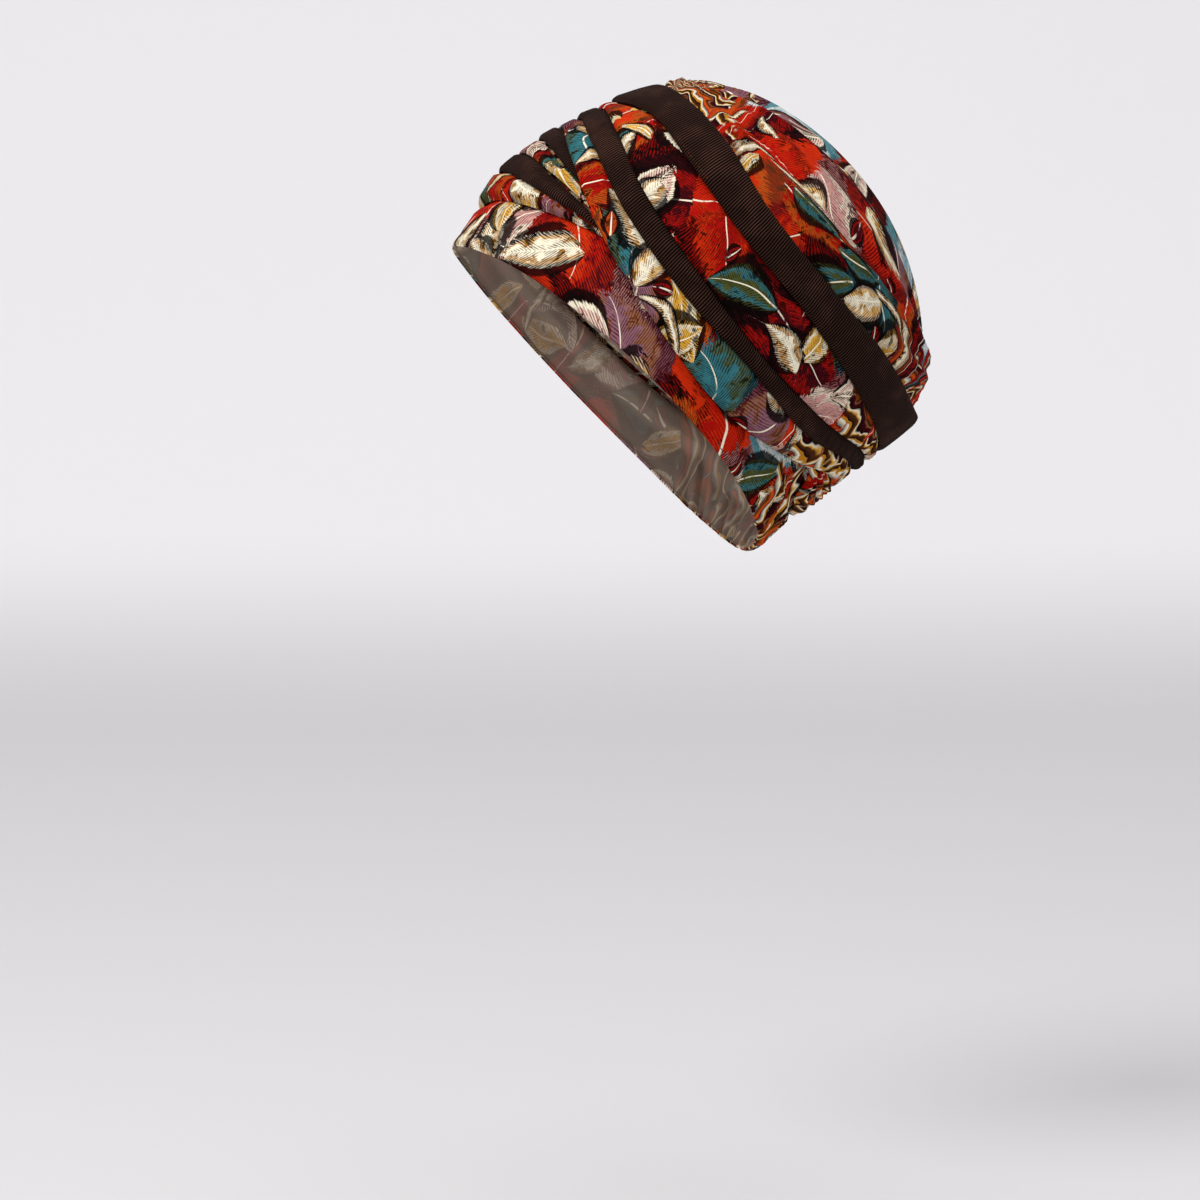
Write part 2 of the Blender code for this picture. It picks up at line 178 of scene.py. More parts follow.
# The rows across a strip, as shares of its visible width and of its tuck
VISIBLE_ROWS = (0, 0.025, 0.06, 0.11, 0.17, 0.25, 0.34, 0.44, 0.54, 0.64, 0.72, 0.79, 0.86, 0.92, 0.965, 1)
TUCK_ROWS = (0.4, 1)
INNER_ROWS = (1, 0.86, 0.64, 0.34, 0.11, 0)
BAND_ROWS = (0, 0.015, 0.04, 0.08, 0.13, 0.2, 0.28, 0.37, 0.46, 0.55, 0.64, 0.73, 0.82, 0.9, 0.96, 1)
FOLD_ARC_DEG = (-60, -25, 10, 45)

# The steps of turn along a strip, the headband and the crown, in degrees, away from the nape and near it,
# and how far from the nape the near ones go
STRIP_STEPS = (1.1, 0.7)
BAND_STEPS = (1.2, 0.45)
CROWN_STEPS = (1.15, 0.9)
FINE_TO_NAPE = 48

# How far a tuck reaches under the next strip, as a share of its width, and under what covers it, in metres
TUCK_SHARE = 0.42
MEET = 0.0015
# The room under the cover from which a tuck is whole, and over which it grows to that, in metres
TUCK_ROOM = 0.0112
TUCK_GROWS = 0.007
# How many degrees past the crossing a strip's end goes under the whole wrap
CROSSED_DEG = 7.5

# The folds in metres: how far from its folded edge a strip is at full lift and no longer lies on its seat,
# over what length it dips under the next strip, at most as a share of its width, and sinks under a cover
EDGE_ROUNDED = 0.0014
SEAT_FADES = 0.0028
DIP_LENGTH = 0.0034
DIP_MOST = 0.42
COVER_SINKS = 0.0045
# The puckers where the strips are gathered, in metres
PUCKER_HEIGHT = 0.00055
PUCKER_PITCH = 0.0052

# How far from the nape the ruched piece lies between the headband and the strips, and how softly that
# ends, in degrees
BAND_NAPE = (42, 12)

# The wide band in metres: its lift, reached past its rounded edges, and how far more it stands out at the
# nape and over the forehead
WIDE_LIFT = 0.0012
WIDE_EDGE_ROUNDED = 0.0022
WIDE_AT_NAPE = 0.0036
WIDE_AT_FRONT = 0.0013

# The headband's hem in metres: its width, its rise, and how its stitches draw the cloth in
HEM_WIDTH = 0.0065
HEM_RISE = 0.00025
HEM_DRAWN_IN = 0.0002
# The slant of the nape gathers on the headband, in degrees a share up, and where they start, then the
# heights in metres and the widths in degrees of their puffs and ripples
GATHER_SLANT = 117
GATHER_START = 131
BAND_PUFFS = (0.0013, 4.6)
BAND_RIPPLES = (0.0006, 9.5)

# The ruched piece: its half width in degrees, its columns and rows, how high it stands, its stacked puffs
# and their number, and its pinches and their width in degrees, with heights in metres
NAPE_HALF_WIDTH = 42
NAPE_COLUMNS = 220
NAPE_ROWS = 38
NAPE_LEVEL = 0.0010
NAPE_PUFFS = (0.0015, 4.3)
NAPE_PINCHES = (0.0006, 5.2)

# The rows of the crown past the wide band in metres, and how many more go on to the apex
CROWN_EDGE_ROWS = (0, 0.0008, 0.0018, 0.003, 0.0045, 0.0063, 0.0085, 0.011)
DOME_ROWS = 74
# The puffs of the crown's gathers at the front, at the back and between: height in metres, width in degrees
FRONT_PUFFS = (0.0019, 13)
BACK_PUFFS = (0.0016, 12)
LONG_PUFFS = (0.0005, 19)
# The bunch at the crown's back: its place, and its height and radius in metres
BUNCH_AT = (149, 0.5)
BUNCH_HEIGHT = 0.0030
BUNCH_RADIUS = 0.0095
# How high the gathers stand behind the wide band at the front, in metres
STAND_BEHIND = 0.0026

FULL_TURN = 2 * math.pi

# The jersey's weave: its pitch in millimetres and its slant in radians
WEAVE_PITCH = 0.62
WEAVE_ANGLE = 0.9


def srgb(red, green, blue):
    """A colour in linear light, from its screen values of 0 to 255."""
    values = np.array((red, green, blue)) / 255
    return tuple(np.where(values <= 0.04045, values / 12.92, ((values + 0.055) / 1.055) ** 2.4))


INKS = {
    "red": srgb(162, 16, 9),
    "scarlet": srgb(198, 46, 11),
    "orange": srgb(190, 84, 22),
    "ochre": srgb(176, 118, 28),
    "gold": srgb(214, 160, 60),
    "cream": srgb(238, 228, 202),
    "brown": srgb(80, 42, 20),
    "dark": srgb(9, 4, 4),
    "teal": srgb(54, 112, 120),
    "blue": srgb(148, 176, 186),
    "olive": srgb(74, 80, 40),
    "mauve": srgb(136, 94, 106),
    "pink": srgb(198, 146, 138),
    "burgundy": srgb(66, 8, 16),
    "tan": srgb(142, 92, 54),
    "white": srgb(236, 232, 222),
}

# The heart, middle and edge of each painted motif. The grounds take the first rows, the leaves the last
PALETTE = (
    ("red", "scarlet", "dark"),
    ("scarlet", "red", "burgundy"),
    ("teal", "olive", "dark"),
    ("red", "dark", "scarlet"),
    ("red", "orange", "dark"),
    ("burgundy", "red", "dark"),
    ("scarlet", "orange", "brown"),
    ("pink", "cream", "burgundy"),
    ("mauve", "tan", "burgundy"),
    ("blue", "white", "teal"),
    ("olive", "teal", "dark"),
    ("burgundy", "pink", "cream"),
    ("gold", "cream", "dark"),
    ("cream", "ochre", "dark"),
    ("cream", "gold", "brown"),
    ("white", "blue", "mauve"),
)

# The inks of the wavy bands where cloth is gathered, each from its share of their height on. They stand for
# the drawn-in print, and their many dark stops are also painted shade in the gathers
STRATA_AND_SHADE = (
    (0.00, "dark"),
    (0.17, "brown"),
    (0.21, "gold"),
    (0.25, "cream"),
    (0.29, "dark"),
    (0.44, "burgundy"),
    (0.48, "tan"),
    (0.52, "dark"),
    (0.67, "orange"),
    (0.71, "scarlet"),
    (0.75, "dark"),
    (0.89, "cream"),
    (0.93, "ochre"),
)

# The layers of the print from the ground up: cell, half length and half width in millimetres, the part of
# the palette that each takes, how ragged it is, the pitch of its veins, how many cells have a motif, and
# its shift
LAYER_INPUTS = ("Cell", "Half Length", "Half Width", "First", "Last", "Ragged", "Veins")
PRINT_LAYERS = (
    (38, 34, 18, 0.00, 0.66, 0.70, 1.7, 2.0, (0, 0)),
    (33, 18, 9.0, 0.62, 0.88, 0.42, 1.5, 0.46, (19, 157)),
    (31, 14.5, 7.6, 0.75, 0.93, 0.34, 1.4, 0.62, (113, 57)),
    (27, 17.5, 2.6, 0.50, 0.90, 0.40, 1.3, 0.20, (37, 293)),
    (23, 5.2, 2.9, 0.30, 0.37, 0.30, 1.2, 0.16, (211, 171)),
)

# The backdrop's run in metres from the opening, its rows, and the shares of them that end its floor and bend
FLOOR_START = -14.0
FLOOR_END = 1.6
BEND_RADIUS = 1.4
WALL_TOP = 6.0
SWEEP_HALF_WIDTH = 14.0
SWEEP_ROWS = 60
SWEEP_FLAT = 0.4
SWEEP_ROUND = 0.8

# The lights: name, diameter in metres, power in watts, turn and rise in degrees, distance in metres, colour
LIGHTS = (
    ("key_light", 1.1, 42, 30, 48, 2.6, (1.0, 0.985, 0.965)),
    ("fill_light", 2.0, 6, 110, 18, 2.8, (0.97, 0.985, 1.0)),
    ("top_light", 1.6, 9, 70, 86, 2.4, (1.0, 1.0, 1.0)),
)
LIGHTS_LOOK_AT = np.array([0, 0.04, 0.03])

# The picture's width and focal length in its pixels, where the opening's middle lies in it from its own
# middle, and the sensor's width in millimetres
PICTURE_PIXELS = 1200
FOCAL_PIXELS = 4823
OPENING_RIGHT = 10
OPENING_ABOVE = 206
SENSOR_WIDTH = 36


class HeadwrapCloth(bpy.types.PropertyGroup):
    """Sizes and colours of the wrap that a user would change."""

    half_length: FloatProperty(
        name="Half length",
        description="From the middle of the opening to the forehead",
        default=0.1005,
        unit="LENGTH",
    )
    half_width: FloatProperty(
        name="Half width",
        description="From the middle of the opening to one side",
        default=0.0765,
        unit="LENGTH",
    )
    dome_height: FloatProperty(
        name="Dome height",
        description="From the opening to the apex",
        default=0.1475,
        unit="LENGTH",
    )
    lean_back: FloatProperty(
        name="Lean back",
        description="How far the crown leans back",
        default=math.radians(43.4),
        subtype="ANGLE",
    )
    thickness: FloatProperty(
        name="Thickness",
        description="Thickness of a folded layer of cloth",
        default=0.0013,
        unit="LENGTH",
    )
    layer_gap: FloatProperty(
        name="Layer gap",
        description="Air between two layers",
        default=0.0004,
        unit="LENGTH",
    )
    crown_puff: FloatProperty(
        name="Crown puff",
        description="Height of the crown's long folds",
        default=0.0036,
        unit="LENGTH",
    )
    crease_depth: FloatProperty(
        name="Crease depth",
        description="Height of the small creases along the strips",
        default=0.0004,
        unit="LENGTH",
    )
    rib_pitch: FloatProperty(
        name="Rib pitch",
        description="Distance between the ribs of the brown cloth",
        default=0.00125,
        unit="LENGTH",
    )
    brown: FloatVectorProperty(
        name="Brown",
        description="Colour of the ribbed cloth",
        default=(0.040, 0.0172, 0.0118),
        subtype="COLOR",
    )


class HeadwrapStage(bpy.types.PropertyGroup):
    """Camera, light and floor."""

    camera_distance: FloatProperty(
        name="Camera distance",
        description="From the opening to the camera",
        default=2.178,
        unit="LENGTH",
    )
    camera_turn: FloatProperty(
        name="Camera turn",
        description="Angle of the camera round the wrap",
        default=math.radians(70),
        subtype="ANGLE",
    )
    camera_rise: FloatProperty(
        name="Camera rise",
        description="Angle of the camera above the opening",
        default=math.radians(4),
        subtype="ANGLE",
    )
    floor_drop: FloatProperty(
        name="Floor drop",
        description="From the opening down to the floor",
        default=0.38,
        unit="LENGTH",
    )
    backdrop: FloatVectorProperty(
        name="Backdrop",
        description="Colour of the floor and wall",
        default=(0.94, 0.925, 0.935),
        subtype="COLOR",
    )


def cloth():
    return bpy.context.scene.headwrap_cloth


def under_one():
    """The level of the outer face of cloth that is tucked under one layer."""
    return -(cloth().thickness + cloth().layer_gap)


def smooth(knots, values, at):
    """A smooth curve through the values at the knots, read at the places asked for."""
    knots, values, at = (np.asarray(each, float) for each in (knots, values, at))
    slopes = np.gradient(values, knots)
    index = np.clip(np.searchsorted(knots, at, side="right") - 1, 0, len(knots) - 2)
    step = knots[index + 1] - knots[index]
    t = (at - knots[index]) / step
    start = values[index] * (1 + 2 * t) * (1 - t) ** 2 + slopes[index] * step * t * (1 - t) ** 2
    end = values[index + 1] * t**2 * (3 - 2 * t) + slopes[index + 1] * step * t**2 * (t - 1)
    return start + end


def around(rows, name, turn):
    """A column of a table by turn, joined up into a ring."""
    knots = np.concatenate([rows["turn"] + 360 * lap for lap in (-1, 0, 1)])
    return smooth(knots, np.tile(rows[name], 3), turn)


def over_the_dome(name, up):
    """A column of the sections, mirrored past the apex so that the dome is round there."""
    mirrored = 1 if name == "height" else -1
    knots = np.append(SECTIONS["up"], 2 - SECTIONS["up"][-2])
    values = np.append(SECTIONS[name], mirrored * SECTIONS[name][-2])
    return smooth(knots, values, up)


def form(turn, up):
    """The point of the plain form at a turn and a share up."""
    size = cloth()
    turn, up = np.broadcast_arrays(np.asarray(turn, float), np.asarray(up, float))
    ahead = np.cos(np.radians(turn))
    reach = np.where(ahead > 0, over_the_dome("front", up), over_the_dome("back", up))
    back = -size.half_length * reach * ahead
    left = size.half_width * over_the_dome("side", up) * np.sin(np.radians(turn))
    rise = around(RIM, "rise", turn) * (1 - up) ** RIM_FADE
    axis = size.dome_height * (over_the_dome("height", up) + rise)
    lean = size.lean_back
    return np.stack(
        [left, back * math.cos(lean) + axis * math.sin(lean), axis * math.cos(lean) - back * math.sin(lean)],
        axis=-1,
    )


def outward(turn, up):
    """The form's outward direction, from its slopes round the head and up the cloth."""
    small_turn, small_up = 0.5, 0.002
    up = np.minimum(up, 1 - 2 * small_up)
    round_the_head = form(turn + small_turn, up) - form(turn - small_turn, up)
    up_the_cloth = form(turn, up + small_up) - form(turn, up - small_up)
    normal = np.cross(round_the_head, up_the_cloth)
    return normal / np.linalg.norm(normal, axis=-1, keepdims=True)


def up_length():
    """How long the cloth is from the rim to the apex, at the side."""
    points = form(90.0, np.linspace(0, 1, 80))
    return np.linalg.norm(np.diff(points, axis=0), axis=1).sum()


def edge(name, turn):
    return around(EDGES, name, turn)


def fade(value):
    """0 below 0, 1 above 1, and an even curve between."""
    t = np.clip(value, 0, 1)
    return t * t * (3 - 2 * t)


def hump(value):
    """1 at 0, falling away to both sides."""
    return np.exp(-(value**2))


def following(name):
    names = list(EDGES)
    return names[names.index(name) + 1]


def near_nape(turn, half_width, soft):
    """1 near the nape, 0 elsewhere."""
    away = np.abs(np.mod(turn, 360) - 180)
    return fade((half_width + soft - away) / soft)


def turns(start, end, coarse, fine):
    """Turns from start to end, with fine steps near the nape, where the cloth is gathered."""
    places = [start]
    while places[-1] < end:
        places.append(places[-1] + (fine if near_nape(places[-1], FINE_TO_NAPE, 1) > 0 else coarse))
    return np.array(places[:-1] + [end])


def length_along(turn, up):
    """How far each column lies along the cloth, in metres."""
    points = form(turn, up)
    steps = np.linalg.norm(np.diff(points, axis=0), axis=1)
    return np.concatenate([[0], np.cumsum(steps)])


def creases(seed, along, across, count, long, slant):
    """Small creases that lie mostly along the cloth, some up and some down, of heights up to 1."""
    draw = np.random.default_rng(SEED + seed)
    height = np.zeros(np.broadcast(along, across).shape)
    for _ in range(count):
        at_along = draw.uniform(along.min(), along.max())
        at_across = draw.uniform(across.min(), across.max())
        angle = draw.normal(0, slant)
        reach = long * draw.uniform(0.5, 1.3)
        breadth = long * draw.uniform(0.08, 0.2)
        strength = draw.uniform(-1, 1)
        one, other = along - at_along, across - at_across
        lengthwise = one * math.cos(angle) + other * math.sin(angle)
        sideways = other * math.cos(angle) - one * math.sin(angle)
        height = height + strength * hump(lengthwise / reach) * hump(sideways / breadth)
    return height


def ripples(seed, along, pitch):
    """Uneven ripples side by side, from -1 to 1."""
    draw = np.random.default_rng(SEED + seed)
    phase = FULL_TURN * along / pitch
    for _ in range(3):
        strength, rate, start = (draw.uniform(*ends) for ends in ((0.5, 1.3), (0.9, 2.2), (0, 6)))
        phase = phase + strength * np.sin(along / pitch * rate + start)
    return np.cos(phase) * (0.75 + 0.25 * np.sin(along / pitch * 1.7 + seed))


def puffs(seed, along, pitch):
    """Uneven round puffs side by side, with sharp valleys between them, from -1 to 1."""
    return 2 * np.sqrt(np.clip(0.5 + 0.5 * ripples(seed, along, pitch), 0, 1)) - 1


def crossing_turn(name):
    """The turn on the left where a pleat's edge goes under the diagonal wrap."""
    turn = np.arange(0, 90, 0.25)
    return turn[np.argmax(edge(name, turn) >= edge("side_1", turn))]


def seat_level(low_name, turn):
    """The level of what a strip's folded edge lies on, from that of one layer: lower over the headband."""
    over_band = 0 * turn
    if low_name == "pleat_1":
        over_band = 1 - near_nape(turn, *BAND_NAPE)
    elif low_name == "side_1":
        over_band = fade((turn - crossing_turn("pleat_1") - 9) / 8) * (1 - near_nape(turn, *BAND_NAPE))
    return under_one() * over_band


def whole_round():
    """The turns of a strip that goes right round the head and nearly meets itself at the nape."""
    seam = 180 - math.degrees(cloth().layer_gap / cloth().half_length)
    return turns(-seam, seam, *STRIP_STEPS)


def strip_bounds(low_name, high_name):
    """A strip's turns, its folded edge, where it goes out of sight, its tucked edge and what covers it."""
    if low_name.startswith("side"):
        turn = whole_round()
        low, high = edge(low_name, turn), edge(high_name, turn)
        return turn, low, high, high + TUCK_SHARE * (edge(following(high_name), turn) - high), 0 * turn + 1
    turn = turns(-PLEATS_END, crossing_turn(low_name) + END_PAST_CROSSING, *STRIP_STEPS)
    metres = up_length()
    low, high, cover = (edge(name, turn) for name in (low_name, high_name, "side_1"))
    cover = np.where(turn > 0, cover, 1)
    clear = fade(((cover - high) * metres - TUCK_ROOM) / TUCK_GROWS)
    meet = MEET / metres
    tuck = TUCK_SHARE * (edge(following(high_name), turn) - high) * clear - meet * (1 - clear)
    past = fade((turn - crossing_turn(high_name) - END_PAST_CROSSING - CROSSED_DEG) / CROSSED_DEG)
    crossed = (TUCK_SHARE * (edge("side_2", turn) - edge("side_1", turn)) + meet) * past - meet
    if high_name == "side_1":
        far = high + TUCK_SHARE * (edge("side_2", turn) - high)
    else:
        far = np.maximum(np.where(cover > high, high + tuck, cover + crossed), low + meet)
    least, most = (low + share * (far - low) for share in (SEEN_LEAST, SEEN_MOST))
    return turn, low, np.clip(np.minimum(high, cover), least, most), far, cover


def strip_gathers(turn):
    """How gathered the strips are at each turn: at the nape, and where the pleats bunch near the top."""
    return np.clip(near_nape(turn, 40, 34) + 0.55 * hump((turn - 18) / 16), 0, 1)


def fold_round(up, level, side):
    """The places round a fold: a lower one where side is -1, and an upper one where it is 1."""
    half, arc = 0.5 * cloth().thickness, np.radians(np.array(FOLD_ARC_DEG))[:, None]
    return up + side * half / up_length() * np.cos(arc), level - half - side * half * np.sin(arc)


def strip_places(low_name, high_name, lift, seed, look):
    """The loop round a strip's cloth: outer face from fold to tucked edge, inner face, and the fold."""
    turn, low, seen, far, cover = strip_bounds(low_name, high_name)
    metres, under, thick = up_length(), under_one(), cloth().thickness
    shares = np.array(VISIBLE_ROWS)[:, None]
    up = low + shares * (seen - low)
    from_fold, to_cover = (up - low) * metres, (seen - up) * metres
    dip_length = np.minimum(DIP_LENGTH, DIP_MOST * (seen - low) * metres)
    dip = fade(1 - to_cover / dip_length)
    lift = lift * (1 + LIFT_OVER_FRONT.get(low_name, 0) * hump((turn + 12) / 26))
    rise = lift * np.sqrt(np.clip(from_fold / EDGE_ROUNDED, 0, 1)) * (1 - 0.4 * shares)
    level = rise * (1 - dip) + under * dip
    seat = seat_level(low_name, turn)
    level = level + seat * (1 - fade(from_fold / SEAT_FADES))
    along = length_along(turn, low)
    gathered = strip_gathers(turn)
    softness = 0.45 if look == "brown" else 1
    wrinkle = cloth().crease_depth * creases(seed, along + 0 * up, up * metres, 34, 0.03, 0.35)
    pucker = PUCKER_HEIGHT * gathered * ripples(seed, along + 0.6 * (up - low) * metres, PUCKER_PITCH)
    level = level + softness * (wrinkle + pucker) * (1 - dip) * fade(from_fold / 0.0015 + 0.35)
    if look == "brown":
        level = level + 0.0004 * near_nape(turn, 16, 18) * (1 - dip)
    tucked = seen + np.array(TUCK_ROWS)[:, None] * (far - seen)
    outer_up = np.vstack([up, tucked])
    outer_level = np.vstack([level, under + 0 * tucked])
    sunk = fade((cover - outer_up) * metres / COVER_SINKS)
    outer_level = under + (outer_level - under) * sunk
    inner = [-1] + [VISIBLE_ROWS.index(share) for share in INNER_ROWS]
    fold_up, fold_level = fold_round(outer_up[0], outer_level[0], -1)
    loop_up = np.vstack([outer_up, outer_up[inner], fold_up, outer_up[:1]])
    loop_level = np.vstack([outer_level, outer_level[inner] - thick, fold_level, outer_level[:1]])
    return turn, loop_up, loop_level, along, gathered


def wide_places():
    """The loop round the wide band, folded at both edges and flat between."""
    turn = whole_round()
    metres, thick = up_length(), cloth().thickness
    low, high = edge("side_4", turn), edge("top", turn)
    shares = np.array(VISIBLE_ROWS)[:, None]
    up = low + shares * (high - low)
    from_edge = np.minimum(up - low, high - up) * metres
    level = WIDE_LIFT * np.sqrt(np.clip(from_edge / WIDE_EDGE_ROUNDED, 0, 1))
    along = length_along(turn, low)
    level = level + 0.5 * cloth().crease_depth * creases(71, along + 0 * up, up * metres, 30, 0.035, 0.25)
    stands_out = (0.0002 + WIDE_AT_NAPE * shares**3) * near_nape(turn, 20, 14)
    level = level + (stands_out + WIDE_AT_FRONT * hump(turn / 32)) * fade(from_edge / 0.0012 + 0.6)
    low_fold, high_fold = fold_round(up[0], level[0], -1), fold_round(up[-1], level[-1], 1)
    inner = [VISIBLE_ROWS.index(share) for share in INNER_ROWS]
    loop_up = np.vstack([up, high_fold[0], up[inner], low_fold[0], up[:1]])
    loop_level = np.vstack([level, high_fold[1], level[inner] - thick, low_fold[1], level[:1]])
    return turn, loop_up, loop_level, along, 0 * turn


def top_of_band(turn):
    """Where the headband first goes under another piece."""
    first = np.minimum(edge("pleat_1", turn), edge("side_1", turn))
    return np.minimum(first, edge("nape", turn))


def band_places():
    """The headband: a turned hem at the rim, smooth in front, with slanting gathers at the nape."""
    turn = turns(-180, 180, *BAND_STEPS)
    metres = up_length()
    top = top_of_band(turn)
    up = np.vstack([np.array(BAND_ROWS)[:, None] * top, top + np.array((0.5, 1))[:, None] * 0.007 / metres])
    from_rim, to_top = up * metres, (top - up) * metres
    under = 2 * under_one()
    sunk = fade(1 - to_top / np.minimum(0.006, 0.4 * top * metres))
    level = under * sunk - 0.0007 * (1 - fade(from_rim / 0.0014))
    # a hem is turned in, and its stitches draw the cloth in a little
    level = level + HEM_RISE * hump((from_rim - 0.003) / 0.002)
    level = level - HEM_DRAWN_IN * hump((from_rim - HEM_WIDTH) / 0.0007)
    side = np.abs(np.mod(turn + 180, 360) - 180)
    slanted = side + GATHER_SLANT * up
    gathered = fade((slanted - GATHER_START) / 12)
    (puffed, puff_width), (rippled, ripple_width) = BAND_PUFFS, BAND_RIPPLES
    folds = puffed * puffs(5, slanted, puff_width) + rippled * ripples(6, slanted + 30 * up, ripple_width)
    level = level + (0.0002 + folds) * gathered * (1 - sunk) * fade(from_rim / 0.003 + 0.45)
    along = length_along(turn, 0 * turn)
    wrinkle = 0.5 * cloth().crease_depth * creases(9, along + 0 * up, up * metres, 40, 0.03, 0.5)
    level = level + wrinkle * (1 - sunk) * (1 - gathered)
    return turn, up, level, along, gathered, 1.7 * slanted


def nape_places():
    """The ruched piece low at the nape: puffs stacked on each other, pinched by small pleats."""
    turn = np.linspace(180 - NAPE_HALF_WIDTH, 180 + NAPE_HALF_WIDTH, NAPE_COLUMNS)
    metres, under = up_length(), under_one()
    left, right = edge("side_1", turn), edge("pleat_1", turn)
    high = left + (right - left) * fade((turn - 184.5) / 5)
    ends = fade((NAPE_HALF_WIDTH - np.abs(turn - 180)) / 14)
    low = high - np.maximum((high - edge("nape", turn)) * ends, 0.0016 / metres)
    tuck = TUCK_SHARE * np.minimum(edge("pleat_2", turn) - edge("pleat_1", turn), 0.0025 / metres)
    shares = np.linspace(0, 1, NAPE_ROWS)[:, None]
    up = np.vstack([low + shares * (high - low), high + tuck])
    shares = np.vstack([shares, 1.02])
    dome = fade(shares / 0.14) * fade((1.0 - shares) / 0.14)
    (stack_height, stack_count), (pinch_height, pinch_width) = NAPE_PUFFS, NAPE_PINCHES
    stacked = puffs(12, shares * stack_count + 0.30 * np.sin(turn / 4.0) + 0.014 * turn, 1.0)
    pinched = ripples(13, turn + 9 * shares, pinch_width)
    level = under + dome * ends * (NAPE_LEVEL - under + stack_height * stacked + pinch_height * pinched)
    along = length_along(turn, 0.5 * (low + high))
    return turn, up, level, along, 0 * turn + 1, (up - low) * metres * 1000 * 1.6 + 2.0 * np.sin(turn / 4.0)


def crown_line():
    """The line from the front gather to the back one, and the two directions across it."""
    front, back = (form(*place) for place in (FRONT_GATHER, BACK_GATHER))
    line = (back - front) / np.linalg.norm(back - front)
    side = np.array([1.0, 0.0, 0.0])
    side = side - line * (side @ line)
    side = side / np.linalg.norm(side)
    return front, back, line, side, np.cross(side, line)


def crown_relief(points):
    """The height in metres of the crown's long folds, of the gathers at their ends and of the back bunch."""
    front, back, line, side, rise = crown_line()
    middle = (front + back) / 2
    turn = np.degrees(np.arctan2((points - middle) @ side, (points - middle) @ rise))
    height = np.zeros(turn.shape)
    for centre, width, share in zip(*CROWN_FOLDS.values()):
        height = height + share * np.exp(-(((turn - centre) / width) ** 2) * 2)
    along = (points - front) @ line / np.linalg.norm(back - front)
    from_ends = (along + FOLDS_PAST_GATHER, 1 + FOLDS_PAST_GATHER - along)
    ends = fade(from_ends[0] / FOLDS_FADE) * fade(from_ends[1] / FOLDS_FADE)
    long_folds = cloth().crown_puff * (height - FOLDS_SINK) * ends
    hidden = np.zeros(turn.shape)
    for centre, depth in zip(*CROWN_CREASES.values()):
        past = turn - centre - 2.5 * np.sin(5 * along + centre)
        sides = np.where(past > 0, past / CREASE_BROAD_DEG, -past / CREASE_SHARP_DEG)
        long_folds = long_folds - depth * np.exp(-sides) * ends
        hidden = hidden + CREASE_HIDES * fade(past / 2.4 + 0.7) * ends
    # the gathers turn about the line from the front gather, where they run together
    from_front = points - (front - 0.030 * line)
    fan = np.degrees(np.arctan2(from_front @ side, from_front @ rise))
    near_front, near_back = hump(along / 0.20), hump((along - 0.97) / 0.13)
    fine = FRONT_PUFFS[0] * near_front * puffs(31, fan + 40 * along, FRONT_PUFFS[1])
    fine = fine + BACK_PUFFS[0] * near_back * puffs(32, turn, BACK_PUFFS[1])
    fine = fine + LONG_PUFFS[0] * puffs(33, turn + 16 * along, LONG_PUFFS[1]) * ends
    bunch = BUNCH_HEIGHT * hump(np.linalg.norm(points - form(*BUNCH_AT), axis=-1) / BUNCH_RADIUS)
    gathered = np.clip(near_front + 0.8 * near_back, 0, 1)
    return long_folds + fine + bunch, gathered, 1.1 * turn, hidden


def crown_places():
    """The crown: a plain skirt under the strips, then puffed folds from the front gather to the back."""
    turn = turns(-180, 180, *CROWN_STEPS)
    metres, under = up_length(), under_one()
    skirt = top_of_band(turn) + 0.009 / metres
    low, high = edge("side_4", turn), edge("top", turn)
    below = low + TUCK_SHARE * (high - low)
    hidden = skirt + np.array((0, 0.33, 0.66, 1))[:, None] * (below - skirt)
    shown = high + np.array(CROWN_EDGE_ROWS)[:, None] / metres
    dome = np.linspace(0, 1, DOME_ROWS)[1:, None]
    shown = np.vstack([shown, shown[-1] + dome * (1 - shown[-1])])
    from_band = (shown - high) * metres
    rising = fade((from_band - 0.0004) / 0.0065)
    relief, gathered, across, creased = crown_relief(form(turn + 0 * shown, shown))
    level = under * (1 - rising) + 0.0002 * rising + relief * fade((from_band - 0.0004) / 0.0075)
    # the gathers stand up behind the wide band at the front
    level = level + STAND_BEHIND * hump((turn + 4) / 26) * hump((from_band - 0.0065) / 0.0042)
    up = np.vstack([hidden, shown])
    unseen = np.zeros(hidden.shape)
    level = np.vstack([2 * under + unseen, level])
    gathered, across, creased = (np.vstack([unseen, each]) for each in (gathered, across, creased))
    return turn, up, level, gathered, across, creased


def flat_print(along, up, shift, gathered):
    """The place of each corner on the flat cloth, in metres, with more cloth where it is gathered."""
    drawn_in = 1 + 0.9 * gathered
    steps = np.diff(along, prepend=0) * drawn_in
    u = np.cumsum(steps) + 0 * up
    v = up * up_length()
    move_u, move_v, angle = shift
    turned_u = u * math.cos(angle) - v * math.sin(angle)
    turned_v = u * math.sin(angle) + v * math.cos(angle)
    return np.stack([move_u + turned_u, move_v + turned_v], axis=-1)


def deselect():
    bpy.ops.object.select_all(action="DESELECT")


def select_only(piece):
    deselect()
    piece.select_set(True)
    bpy.context.view_layer.objects.active = piece


